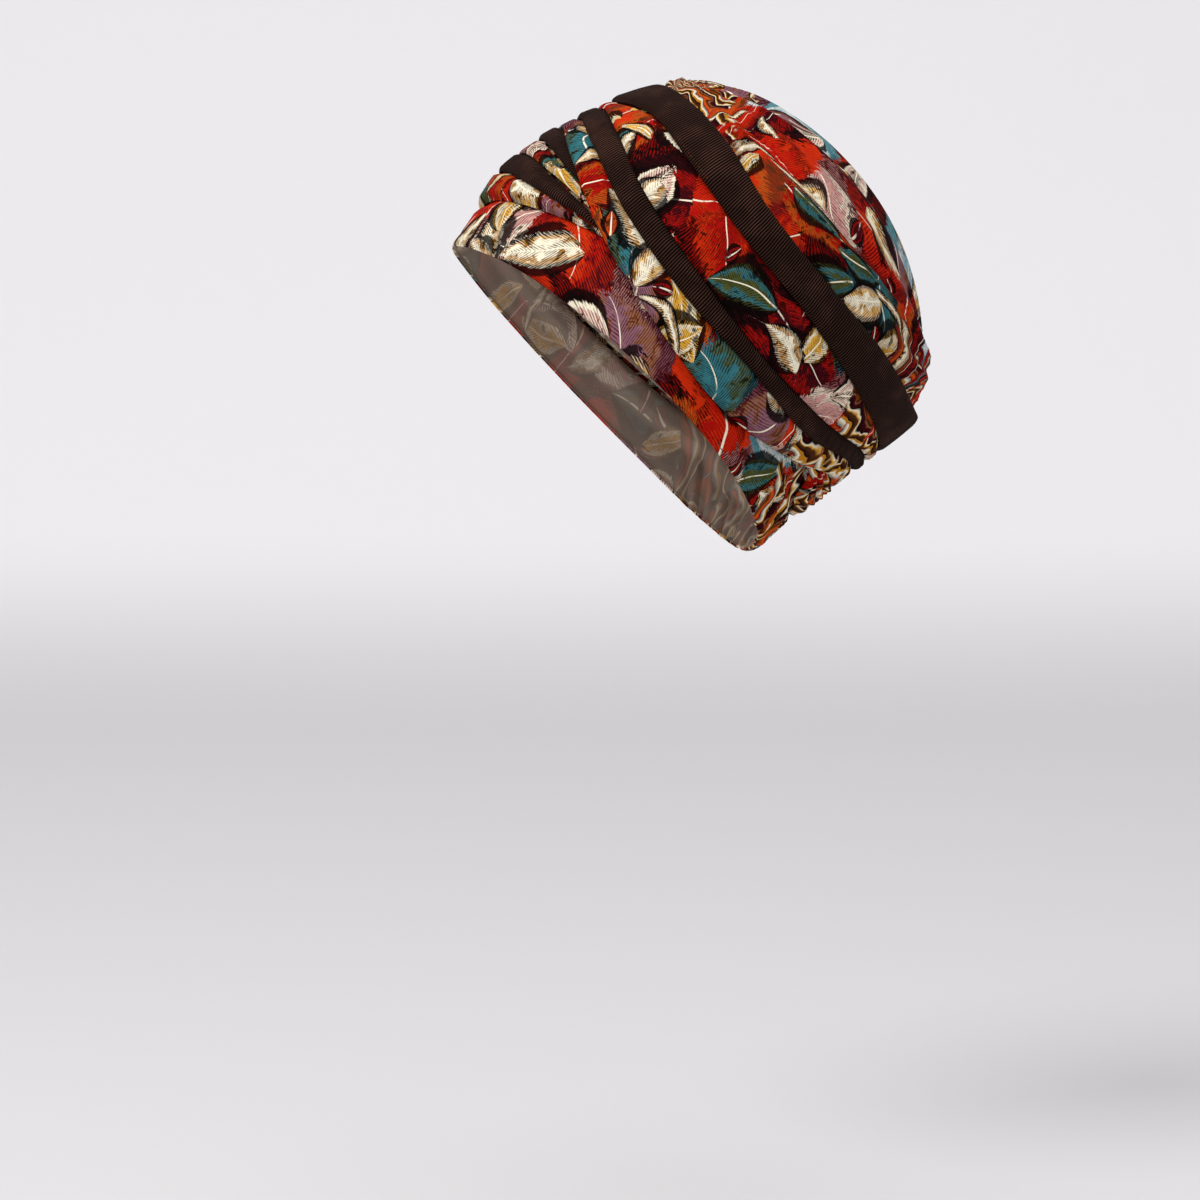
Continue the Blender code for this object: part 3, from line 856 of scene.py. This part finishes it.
def lay_cloth(name, turn, up, level, flat, gathered, across):
    """A grid of cloth moved to its places on the form, with the flat cloth's metres as its UV map."""
    rows, columns = up.shape
    deselect()
    bpy.ops.mesh.primitive_grid_add(
        x_subdivisions=columns - 1, y_subdivisions=rows - 1, size=1, location=(0, 0, 0)
    )
    piece = bpy.context.object
    piece.name = name
    mesh = piece.data
    mesh.name = name
    corners = np.empty(len(mesh.vertices) * 3)
    mesh.vertices.foreach_get("co", corners)
    corners = corners.reshape(-1, 3) + 0.5
    column = np.rint(corners[:, 0] * (columns - 1)).astype(int)
    row = np.rint(corners[:, 1] * (rows - 1)).astype(int)
    places = form(turn + 0 * up, up) + outward(turn + 0 * up, up) * level[..., None]
    mesh.vertices.foreach_set("co", places[row, column].ravel())
    loop_vertex = np.empty(len(mesh.loops), dtype=np.int32)
    mesh.loops.foreach_get("vertex_index", loop_vertex)
    mesh.uv_layers[0].data.foreach_set("uv", flat[row, column][loop_vertex].ravel())
    for label, values in (("gathered", gathered), ("across_folds", across)):
        attribute = mesh.attributes.new(label, "FLOAT", "POINT")
        attribute.data.foreach_set("value", (values + 0 * up)[row, column].ravel())
    mesh.update()
    return piece


def close_cloth(piece, fill):
    """Merge the seams of a piece. Where it is to be filled, close its ends and turn its faces outwards."""
    select_only(piece)
    bpy.ops.object.mode_set(mode="EDIT")
    bpy.ops.mesh.select_all(action="SELECT")
    bpy.ops.mesh.remove_doubles(threshold=1e-6)
    if fill:
        bpy.ops.mesh.select_all(action="SELECT")
        bpy.ops.mesh.fill_holes(sides=0)
        bpy.ops.mesh.select_all(action="SELECT")
        bpy.ops.mesh.normals_make_consistent(inside=False)
    bpy.ops.object.mode_set(mode="OBJECT")
    bpy.ops.object.shade_smooth()


def thicken(piece, thickness):
    """Give a single face of cloth its wall, inwards, with the reverse of the cloth inside."""
    select_only(piece)
    wall = piece.modifiers.new("wall", "SOLIDIFY")
    wall.thickness = thickness
    wall.offset = -1
    wall.material_offset = 1
    bpy.ops.object.modifier_apply(modifier=wall.name)


def one_stitch():
    """A short thread with round ends: a ball whose halves are moved apart."""
    deselect()
    bpy.ops.mesh.primitive_uv_sphere_add(segments=8, ring_count=6, radius=STITCH_RADIUS, location=(0, 0, 0))
    stitch = bpy.context.object
    apart = STITCH_HALF_LENGTH - STITCH_RADIUS
    for end in (1, -1):
        for corner in stitch.data.vertices:
            corner.select = corner.co.x * end > 0.1 * STITCH_RADIUS
        bpy.ops.object.mode_set(mode="EDIT")
        bpy.ops.mesh.select_mode(type="VERT")
        bpy.ops.transform.translate(value=(end * apart, 0, 0))
        bpy.ops.mesh.select_all(action="DESELECT")
        bpy.ops.object.mode_set(mode="OBJECT")
    return stitch


def dress(piece, node, materials):
    """Give a piece its cloth and let it stand for its node."""
    for material in materials:
        piece.data.materials.append(material)
    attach(piece, "root")
    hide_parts(node)


def by_node(operation, swapped=False):
    """A way of working with values that is done by a Math node in their tree."""

    def work(*values):
        values = values[::-1] if swapped else values
        return put("ShaderNodeMath", dict(enumerate(values)), operation=operation)[0]

    return work


class Value:
    """What a shader node puts out. Arithmetic on it adds Math nodes to its tree."""

    def __init__(self, socket):
        self.socket = socket

    def into(self, socket):
        self.socket.id_data.links.new(self.socket, socket)

    __add__ = by_node("ADD")
    __sub__ = by_node("SUBTRACT")
    __rsub__ = by_node("SUBTRACT", swapped=True)
    __mul__ = by_node("MULTIPLY")
    __truediv__ = by_node("DIVIDE")
    __rtruediv__ = by_node("DIVIDE", swapped=True)
    __pow__ = by_node("POWER")
    __abs__ = by_node("ABSOLUTE")
    at_least = by_node("MAXIMUM")
    fraction = by_node("FRACT")
    wave = by_node("SINE")


class Outputs:
    """All that a shader node puts out, by name or number."""

    def __init__(self, node):
        self.node = node

    def __getitem__(self, name):
        return Value(self.node.outputs[name])


def put(kind, inputs, tree=None, **settings):
    """A node in the tree of its inputs, which are set to numbers or wired to other nodes' values."""
    wired = {name: value for name, value in inputs.items() if isinstance(value, Value)}
    tree = tree or next(iter(wired.values())).socket.id_data
    node = tree.nodes.new(kind)
    for name, value in settings.items():
        setattr(node, name, value)
    for name, value in inputs.items():
        if name not in wired:
            node.inputs[name].default_value = value
    give(node.inputs, wired)
    return Outputs(node)


def give(sockets, values):
    """Wire values to the sockets of their names."""
    for name, value in values.items():
        value.into(sockets[name])


def soft_step(value, start, end):
    """0 before start and 1 after end, softly."""
    inputs = {"Value": value, "From Min": start, "From Max": end}
    return put("ShaderNodeMapRange", inputs, interpolation_type="SMOOTHSTEP")["Result"]


def blend(factor, first, second, kind="MIX"):
    """One colour over another."""
    first, second = (colour if isinstance(colour, Value) else (*colour, 1) for colour in (first, second))
    inputs = {0: factor, 6: first, 7: second}
    return put("ShaderNodeMix", inputs, data_type="RGBA", blend_type=kind, clamp_factor=True)[2]


def ramp(value, stops, kind="LINEAR"):
    """A colour ramp through the inks at the stops."""
    made = put("ShaderNodeValToRGB", {"Fac": value})
    made.node.color_ramp.interpolation = kind
    places = made.node.color_ramp.elements
    while len(places) < len(stops):
        places.new(0.5)
    for place, (position, ink) in zip(places, stops):
        place.position = position
        place.color = (*INKS[ink], 1)
    return made["Color"]


def noise(vector, scale, detail=2.0, rough=0.5, distortion=0.0):
    """A noise value from 0 to 1 over two dimensions."""
    inputs = {"Vector": vector, "Scale": scale, "Detail": detail, "Roughness": rough}
    return put("ShaderNodeTexNoise", {**inputs, "Distortion": distortion}, noise_dimensions="2D")["Fac"]


def soft_noise(vector, scale, detail):
    """A noise value from 0 to 1 through a solid."""
    return put("ShaderNodeTexNoise", {"Vector": vector, "Scale": scale, "Detail": detail})["Fac"]


def moved(vector, move, operation="ADD"):
    return put("ShaderNodeVectorMath", {0: vector, 1: move}, operation=operation)["Vector"]


def scaled(vector, factor):
    return put("ShaderNodeVectorMath", {0: vector, "Scale": factor}, operation="SCALE")["Vector"]


def turned(vector, angle):
    inputs = {"Vector": vector, "Angle": angle}
    return put("ShaderNodeVectorRotate", inputs, rotation_type="Z_AXIS")["Vector"]


def axes_of(vector):
    return put("ShaderNodeSeparateXYZ", {"Vector": vector})


def new_group(name, inputs, outputs):
    """A node group. Its inputs are a vector where the default is None, and numbers elsewhere."""
    group = bpy.data.node_groups.new(name, "ShaderNodeTree")
    for label, default in inputs.items():
        kind = "NodeSocketVector" if default is None else "NodeSocketFloat"
        socket = group.interface.new_socket(name=label, in_out="INPUT", socket_type=kind)
        if default is not None:
            socket.default_value = default
    for label in outputs:
        kind = "NodeSocketColor" if label == "Color" else "NodeSocketFloat"
        group.interface.new_socket(name=label, in_out="OUTPUT", socket_type=kind)
    return group, Outputs(group.nodes.new("NodeGroupInput")), group.nodes.new("NodeGroupOutput").inputs


def once(made, name, make):
    """The one of that name, if it has been made, or else a new one."""
    return made.get(name) or make()


def motif_group():
    """Leaves painted with a dry brush, one to a cell, with a pale midrib, side veins and ragged zones."""
    sizes = {"Cell": 30.0, "Half Length": 15.0, "Half Width": 6.0}
    looks = {"First": 0.0, "Last": 1.0, "Ragged": 0.5, "Veins": 1.4}
    outputs = ("Color", "Mask", "Outline", "Pick")
    group, given, result = new_group("painted_leaves", {"Vector": None, **sizes, **looks}, outputs)
    vector = given["Vector"]
    # the borders between cells are drawn out into barbs
    drawn = put("ShaderNodeMapping", {"Vector": vector, "Rotation": (0, 0, 0.7), "Scale": (0.22, 1.0, 1.0)})
    barb = noise(drawn["Vector"], 0.85, 3.0, 0.65) - 0.5
    barbs = put("ShaderNodeCombineXYZ", {"X": barb * 15.0, "Y": barb * -12.6})["Vector"]
    inputs = {"Vector": moved(vector, barbs), "Scale": 1.0 / given["Cell"], "Randomness": 0.8}
    cells = put("ShaderNodeTexVoronoi", inputs, voronoi_dimensions="2D", feature="F1")
    chance = put("ShaderNodeSeparateColor", {"Color": cells["Color"]})
    # one leaf lies along the X axis of each cell, turned by chance, and its midrib is a little bent
    local = moved(vector, cells["Position"], "SUBTRACT")
    axes = axes_of(turned(local, chance["Red"] * FULL_TURN))
    along = axes["X"]
    bend = (chance["Blue"] - 0.5) * 0.03
    off_rib = abs(along * along * bend + axes["Y"])
    share = along / given["Half Length"]
    taper = (1.0 - share * share).at_least(0.0004) ** 0.85
    breadth = taper * (share * -0.25 + 1.0) * given["Half Width"]
    out = off_rib / breadth.at_least(0.02)
    # strokes run slantwise from the midrib to the edge, as side veins do
    vein = off_rib * -1.2 + along
    slowly = off_rib * 0.14 + chance["Green"] * 40.0
    strokes = put("ShaderNodeCombineXYZ", {"X": vein, "Y": slowly})["Vector"]
    out = (noise(strokes, 0.80, 4.0, 0.75) - 0.5) * given["Ragged"] + out
    stroke = noise(strokes, 2.2, 2.0, 0.7)
    patch = noise(vector, 0.17, 3.0, 0.6, 0.5)
    chosen = chance["Green"] * (given["Last"] - given["First"]) + given["First"]
    heart, middle, rim = (
        ramp(chosen, [(index / len(PALETTE), row[part]) for index, row in enumerate(PALETTE)], "CONSTANT")
        for part in range(3)
    )
    zone = (patch - 0.5) * 1.4 + out
    wave = (stroke * 5.0 + vein * FULL_TURN / given["Veins"]).wave()
    from_midrib = off_rib - (share * -0.24 + 0.26)
    midrib = soft_step(from_midrib, 0.12, -0.02) * soft_step(abs(share), 1.0, 0.85)
    midrib = midrib * soft_step(patch, 0.30, 0.48)
    # the zones, then blots of the edge colour, side veins as fine lines, dark in some places and pale in
    # others, dry strokes and the midrib
    colour = blend(soft_step(zone, 0.36, 0.42), heart, middle)
    for amount, over in (
        (soft_step(out, 0.76, 0.80), rim),
        (soft_step(patch, 0.60, 0.66) * soft_step(out, 0.15, 0.3) * 0.85, rim),
        (soft_step(wave, 0.20, 0.60) * soft_step(patch, 0.36, 0.45) * 0.80, rim),
        (soft_step(wave, -0.35, -0.75) * soft_step(patch, 0.62, 0.50) * 0.62, heart),
        (soft_step(stroke, 0.58, 0.68) * 0.5, heart),
        (soft_step(stroke, 0.40, 0.32) * 0.5, rim),
        (midrib, INKS["cream"]),
    ):
        colour = blend(amount, colour, over)
    mask = soft_step(out, 1.02, 0.96).at_least(midrib)
    outline = soft_step(out, 1.52, 1.40)
    give(result, {"Color": colour, "Mask": mask, "Outline": outline, "Pick": chance["Blue"]})
    return group


def weave_group():
    """A fine slanting weave with a little unevenness, as a height."""
    group, given, result = new_group("fine_weave", {"Vector": None, "Pitch": 0.5, "Angle": 0.9}, ("Height",))
    vector = given["Vector"]
    across = axes_of(turned(vector, given["Angle"]))["X"]
    wave = (across * FULL_TURN / given["Pitch"] + noise(vector, 0.5) * 1.6).wave()
    give(result, {"Height": wave * 0.35 + noise(vector, 3.0, 3.0, 0.7) * 0.6})
    return group


def rib_group():
    """Ribs across a band, from their groove, 0, to their crown, 1, with lint and wear as further values."""
    outputs = ("Rib", "Height", "Lint", "Wear")
    group, given, result = new_group("cloth_ribs", {"Vector": None, "Pitch": 1.0}, outputs)
    vector = given["Vector"]
    phase = axes_of(vector)["X"] * math.pi / given["Pitch"] + noise(vector, 0.05) * 4.0
    rib = abs(phase.wave()) ** 1.5
    height = noise(vector, 2.4, 3.0, 0.75) * 0.4 + rib
    lint = soft_step(noise(vector, 1.5, 4.0, 0.9), 0.71, 0.78)
    give(result, {"Rib": rib, "Height": height, "Lint": lint, "Wear": noise(vector, 0.05, 3.0, 0.6)})
    return group


def millimetres(tree):
    """The place on the flat cloth, in millimetres."""
    return scaled(put("ShaderNodeUVMap", {}, tree, uv_map="UVMap")["UV"], 1000.0)


def print_colour(tree, vector):
    """The printed cloth's colour: layers of painted leaves, with wavy bands where the cloth is gathered, which
    are drawn-in print and, with their many dark inks, painted shade in the gathers.
    """
    leaves = once(bpy.data.node_groups, "painted_leaves", motif_group)
    inputs = {"Vector": vector, "Scale": 0.024, "Detail": 1.0}
    wobble = put("ShaderNodeTexNoise", inputs, noise_dimensions="2D")["Color"]
    warped = moved(vector, scaled(wobble, 16.0))
    colour = None
    for *values, share, (x, y) in PRINT_LAYERS:
        inputs = dict(zip(LAYER_INPUTS, values), Vector=moved(warped, (x, y, 0)))
        layer = put("ShaderNodeGroup", inputs, node_tree=leaves)
        if colour is None:
            colour = layer["Color"]
            continue
        there = soft_step(layer["Pick"], share + 0.001, share - 0.001)
        colour = blend(layer["Outline"] * there * 0.93, colour, INKS["dark"])
        colour = blend(layer["Mask"] * there, colour, layer["Color"])
    names = ("gathered", "across_folds")
    gathered, across = (put("ShaderNodeAttribute", {}, tree, attribute_name=name)["Fac"] for name in names)
    swing = noise(vector, 0.12) * 0.09 + noise(vector, 0.03, 1.5) * 1.5
    # the wavy bands are drawn-in print, and their dark inks are also painted shade where the cloth is gathered
    strata_and_shade = ramp((across * 0.050 + swing).fraction(), STRATA_AND_SHADE)
    return blend(soft_step(gathered * noise(vector, 0.04), 0.36, 0.41), colour, strata_and_shade)


def cloth_shader(name, roughness, sheen):
    """A material with its Principled shader set up for cloth."""
    material = bpy.data.materials.new(name)
    material.use_nodes = True
    tree = material.node_tree
    inputs = tree.nodes["Principled BSDF"].inputs
    inputs["Roughness"].default_value = roughness
    inputs["Specular IOR Level"].default_value = 0.02
    inputs["Sheen Weight"].default_value = sheen
    inputs["Sheen Roughness"].default_value = 0.5
    return material, tree, inputs


def bumped(height, strength, distance):
    return put("ShaderNodeBump", {"Height": height, "Strength": strength, "Distance": distance})["Normal"]


def woven(vector, angle):
    """The height of the jersey's weave."""
    weave = once(bpy.data.node_groups, "fine_weave", weave_group)
    inputs = {"Vector": vector, "Pitch": WEAVE_PITCH, "Angle": angle}
    return put("ShaderNodeGroup", inputs, node_tree=weave)["Height"]


def print_material():
    """The face of the printed jersey."""
    material, tree, inputs = cloth_shader("printed_jersey", 0.72, 0.0)
    vector = millimetres(tree)
    height = woven(vector, WEAVE_ANGLE)
    # painted shade and highlight of the weave: the colour is darker where the weave is low and a little
    # lighter where it is high
    shade = put("ShaderNodeCombineColor", dict.fromkeys(range(3), height * 0.16 + 0.92))[0]
    colour = blend(1.0, print_colour(tree, vector), shade, "MULTIPLY")
    rough = noise(vector, 0.2) * 0.14 + 0.66
    give(inputs, {"Base Color": colour, "Normal": bumped(height, 0.35, 0.0002), "Roughness": rough})
    return material


def reverse_material():
    """The reverse of the printed jersey, where the colours show only faintly."""
    material, tree, inputs = cloth_shader("print_reverse", 0.85, 0.10)
    vector = millimetres(tree)
    colour = blend(0.58, print_colour(tree, vector), (0.46, 0.36, 0.29))
    normal = bumped(woven(vector, -WEAVE_ANGLE), 0.4, 0.0002)
    give(inputs, {"Base Color": colour, "Normal": normal})
    return material


def print_cloths():
    """The face and the reverse of the printed jersey."""
    made = bpy.data.materials
    return once(made, "printed_jersey", print_material), once(made, "print_reverse", reverse_material)


def brown_material():
    """The ribbed brown cloth: painted shade in the grooves between the ribs, lint and a little fuzz."""
    material, tree, inputs = cloth_shader("ribbed_brown", 0.88, 0.012)
    ribs = once(bpy.data.node_groups, "cloth_ribs", rib_group)
    flat = {"Vector": millimetres(tree), "Pitch": cloth().rib_pitch * 1000}
    parts = put("ShaderNodeGroup", flat, node_tree=ribs)
    brown = np.array(cloth().brown)
    colour = blend(soft_step(parts["Wear"], 0.42, 0.72), brown, 1.9 * brown)
    # painted shade: the grooves between the ribs are darkened nearly to black, and the rib crowns keep the
    # cloth's colour
    colour = blend(soft_step(parts["Rib"], 0.42, 1.0), 0.02 * brown, colour)
    colour = blend(parts["Lint"] * 0.5, colour, (0.16, 0.11, 0.085))
    give(inputs, {"Base Color": colour, "Normal": bumped(parts["Height"], 0.9, 0.0004)})
    return material


def thread_material():
    """The orange-brown thread of the stitches."""
    material, tree, inputs = cloth_shader("stitch_thread", 0.6, 0.0)
    tone = soft_noise(put("ShaderNodeTexCoord", {}, tree)["Object"], 900.0, 1.0)
    give(inputs, {"Base Color": blend(tone, INKS["brown"], INKS["orange"])})
    return material


def stage_material():
    """The plain pale paper of the floor and wall, with painted shade that makes it dimmer on the floor."""
    material, tree, inputs = cloth_shader("backdrop_paper", 0.9, 0.0)
    place = put("ShaderNodeTexCoord", {}, tree)["Object"]
    pale = np.array(bpy.context.scene.headwrap_stage.backdrop)
    colour = blend(soft_noise(place, 1.3, 2.0), 0.985 * pale, pale)
    # painted shade: the floor takes 0.71 of the paper's colour, so that it is dimmer than the wall
    on_floor = soft_step(axes_of(place)["Z"], -0.27, -0.40)
    give(inputs, {"Base Color": blend(on_floor, colour, 0.71 * pale)})
    return material


def lay_print(name, node, turn, up, level, flat, gathered, across):
    """A piece of one layer of the print, with its wall and its reverse."""
    piece = lay_cloth(name, turn, up, level, flat, gathered, across)
    close_cloth(piece, False)
    dress(piece, node, print_cloths())
    thicken(piece, cloth().thickness)
    return piece


class HEADWRAP_OT_headband(bpy.types.Operator):
    """Make the printed headband with its hem and nape gathers"""

    bl_idname = "headwrap.headband"
    bl_label = "Headband"

    def execute(self, context):
        turn, up, level, along, gathered, across = band_places()
        flat = flat_print(along, up, (0.07, 0.0, 0.12), near_nape(turn, 40, 12))
        piece = lay_print("headband_cloth", "head_band", turn, up, level, flat, gathered, across)
        return {"FINISHED"}


class HEADWRAP_OT_crown(bpy.types.Operator):
    """Make the printed crown with its long folds and gathers"""

    bl_idname = "headwrap.crown"
    bl_label = "Crown"

    def execute(self, context):
        turn, up, level, gathered, across, creased = crown_places()
        reach = up_length() * (1 - up) * 1.05
        from_middle = reach * np.cos(np.radians(turn)), reach * np.sin(np.radians(turn))
        flat = np.stack([0.4 + from_middle[0] - 0.4 * creased, 0.3 + from_middle[1] + creased], axis=-1)
        piece = lay_print("crown_cloth", "crown_cap", turn, up, level, flat, gathered, across)
        return {"FINISHED"}


class HEADWRAP_OT_nape(bpy.types.Operator):
    """Make the ruched piece low at the nape"""

    bl_idname = "headwrap.nape"
    bl_label = "Nape gather"

    def execute(self, context):
        turn, up, level, along, gathered, across = nape_places()
        flat = flat_print(along, up, (0.62, 0.15, 1.3), gathered)
        piece = lay_print("nape_ruching_cloth", "nape_gather", turn, up, level, flat, gathered, across)
        return {"FINISHED"}


class HEADWRAP_OT_strips(bpy.types.Operator):
    """Make the folded strips: the front pleats and the diagonal wrap"""

    bl_idname = "headwrap.strips"
    bl_label = "Strips"

    def execute(self, context):
        brown = once(bpy.data.materials, "ribbed_brown", brown_material)
        looks = {"print": ("print_cloth", print_cloths()[0]), "brown": ("brown_rib", brown)}
        for seed, (node, low, high, look, lift, shift, flat_size) in enumerate(STRIPS):
            turn, up, level, along, gathered = strip_places(low, high, lift, seed, look)
            flat = flat_print(along, up, shift, gathered if look == "print" else 0 * turn)
            across = 1000 * up_length() * (up - edge(low, turn)) + 2.5 * np.sin(along / 0.012)
            piece = lay_cloth(node + "_cloth", turn, up, level, flat, gathered, across)
            close_cloth(piece, True)
            slot, material = looks[look]
            dress(piece, node, (material,))
        return {"FINISHED"}


class HEADWRAP_OT_wide_band(bpy.types.Operator):
    """Make the wide ribbed band over the crown's edge"""

    bl_idname = "headwrap.wide_band"
    bl_label = "Wide band"

    def execute(self, context):
        turn, up, level, along, gathered = wide_places()
        flat = flat_print(along, up, (0, 0, 0), gathered)
        piece = lay_cloth("side_brown_wide_cloth", turn, up, level, flat, gathered, 0 * up)
        close_cloth(piece, True)
        brown = once(bpy.data.materials, "ribbed_brown", brown_material)
        dress(piece, "side_brown_wide", (brown,))
        return {"FINISHED"}


class HEADWRAP_OT_stitches(bpy.types.Operator):
    """Make the small stitches along the wide band's lower edge"""

    bl_idname = "headwrap.stitches"
    bl_label = "Stitches"

    def execute(self, context):
        fine_turn = np.linspace(STITCHES_START, STITCHES_END, 400)
        low = edge("side_4", fine_turn)
        up = low + STITCH_ABOVE_FOLD / up_length()
        along = length_along(fine_turn, up)
        middles = np.arange(0, along[-1], STITCH_PITCH)
        turn, up = (np.interp(middles, along, each) for each in (fine_turn, up))
        places = form(turn, up) + outward(turn, up) * STITCH_LEVEL
        here, ahead = (form(at, np.interp(at, fine_turn, low)) for at in (turn, turn + 0.5))
        first = one_stitch()
        made = [first]
        for _ in places[1:]:
            select_only(first)
            bpy.ops.object.duplicate(linked=False)
            made.append(bpy.context.object)
        deselect()
        for stitch, place, way in zip(made, places, ahead - here):
            stitch.location = tuple(place)
            stitch.rotation_euler = Vector(way).to_track_quat("X", "Z").to_euler()
            stitch.select_set(True)
        bpy.context.view_layer.objects.active = first
        bpy.ops.object.join()
        bpy.ops.object.transform_apply(location=True, rotation=True, scale=True)
        bpy.ops.object.shade_smooth()
        piece = bpy.context.object
        piece.name = "edge_stitches"
        piece.data.name = "edge_stitches"
        piece.data.materials.append(thread_material())
        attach(piece, "root")
        return {"FINISHED"}


def towards(turn, rise):
    """The direction from the wrap to a turn round it and a rise above its opening, in radians."""
    return np.array([math.sin(turn) * math.cos(rise), -math.cos(turn) * math.cos(rise), math.sin(rise)])


def backdrop(turn, floor_drop):
    """Paper from in front of the camera over the floor, round a wide curve and up the wall."""
    deselect()
    bpy.ops.mesh.primitive_grid_add(x_subdivisions=1, y_subdivisions=SWEEP_ROWS, size=1, location=(0, 0, 0))
    sweep = bpy.context.object
    sweep.name = "backdrop"
    share = np.linspace(0, 1, SWEEP_ROWS + 1)
    round_share = (share - SWEEP_FLAT) / (SWEEP_ROUND - SWEEP_FLAT)
    bent = np.clip(round_share, 0, 1) * math.pi / 2
    on_floor = FLOOR_START + (FLOOR_END - FLOOR_START) * share / SWEEP_FLAT
    up_the_wall = BEND_RADIUS + (share - SWEEP_ROUND) / (1 - SWEEP_ROUND) * WALL_TOP
    depth = np.where(share < SWEEP_FLAT, on_floor, FLOOR_END + BEND_RADIUS * np.sin(bent))
    rise = np.where(share < SWEEP_ROUND, BEND_RADIUS * (1 - np.cos(bent)), up_the_wall)
    for corner in sweep.data.vertices:
        row = round((corner.co.y + 0.5) * SWEEP_ROWS)
        side = 2 * SWEEP_HALF_WIDTH * corner.co.x
        corner.co = (
            side * math.cos(turn) - depth[row] * math.sin(turn),
            side * math.sin(turn) + depth[row] * math.cos(turn),
            rise[row] - floor_drop,
        )
    sweep.data.materials.append(stage_material())
    select_only(sweep)
    bpy.ops.object.shade_smooth()
    return sweep


def light(name, size, power, turn_deg, rise_deg, distance, colour):
    """A round soft light that looks at the wrap."""
    turn, rise = math.radians(turn_deg), math.radians(rise_deg)
    bpy.ops.object.light_add(type="AREA", location=tuple(towards(turn, rise) * distance + LIGHTS_LOOK_AT))
    lamp = bpy.context.object
    lamp.name = name
    lamp.data.shape = "DISK"
    lamp.data.size = size
    lamp.data.energy = power
    lamp.data.color = colour
    lamp.rotation_euler = (math.pi / 2 - rise, 0, turn)


class HEADWRAP_OT_stage(bpy.types.Operator):
    """Make the floor and wall, the lights and the camera"""

    bl_idname = "headwrap.stage"
    bl_label = "Stage"

    def execute(self, context):
        stage = context.scene.headwrap_stage
        turn, rise = stage.camera_turn, stage.camera_rise
        backdrop(turn, stage.floor_drop)
        for row in LIGHTS:
            light(*row)
        world = bpy.data.worlds.new("soft_room")
        context.scene.world = world
        world.use_nodes = True
        room = world.node_tree.nodes["Background"]
        room.inputs["Color"].default_value = (0.97, 0.975, 1.0, 1)
        room.inputs["Strength"].default_value = 0.68
        bpy.ops.object.camera_add(location=tuple(stage.camera_distance * towards(turn, rise)))
        camera = bpy.context.object
        camera.name = "photo_camera"
        tilt, pan = (math.atan(pixels / FOCAL_PIXELS) for pixels in (OPENING_ABOVE, OPENING_RIGHT))
        camera.rotation_euler = (math.pi / 2 - rise - tilt, 0, turn + pan)
        camera.data.sensor_width = SENSOR_WIDTH
        camera.data.lens = SENSOR_WIDTH * FOCAL_PIXELS / PICTURE_PIXELS
        camera.data.clip_end = 50
        context.scene.camera = camera
        context.scene.view_settings.view_transform = "Standard"
        return {"FINISHED"}


class HEADWRAP_PT_panel(bpy.types.Panel):
    """The steps of the headwrap, in the sidebar"""

    bl_label = "Headwrap"
    bl_idname = "HEADWRAP_PT_panel"
    bl_space_type = "VIEW_3D"
    bl_region_type = "UI"
    bl_category = "Headwrap"

    def draw(self, context):
        for step in STEPS:
            self.layout.operator(step.bl_idname)
        for group in (context.scene.headwrap_cloth, context.scene.headwrap_stage):
            for name in group.__annotations__:
                self.layout.prop(group, name)


STEPS = (
    HEADWRAP_OT_headband,
    HEADWRAP_OT_crown,
    HEADWRAP_OT_nape,
    HEADWRAP_OT_strips,
    HEADWRAP_OT_wide_band,
    HEADWRAP_OT_stitches,
    HEADWRAP_OT_stage,
)


def register():
    for group in (HeadwrapCloth, HeadwrapStage):
        bpy.utils.register_class(group)
    bpy.types.Scene.headwrap_cloth = PointerProperty(type=HeadwrapCloth)
    bpy.types.Scene.headwrap_stage = PointerProperty(type=HeadwrapStage)
    for step in STEPS:
        bpy.utils.register_class(step)
    bpy.utils.register_class(HEADWRAP_PT_panel)


def unregister():
    bpy.utils.unregister_class(HEADWRAP_PT_panel)
    for step in reversed(STEPS):
        bpy.utils.unregister_class(step)
    del bpy.types.Scene.headwrap_stage
    del bpy.types.Scene.headwrap_cloth
    for group in (HeadwrapStage, HeadwrapCloth):
        bpy.utils.unregister_class(group)


def main():
    register()
    bpy.ops.headwrap.headband()
    bpy.ops.headwrap.crown()
    bpy.ops.headwrap.nape()
    bpy.ops.headwrap.strips()
    bpy.ops.headwrap.wide_band()
    bpy.ops.headwrap.stitches()
    bpy.ops.headwrap.stage()


if __name__ == "__main__":
    main()
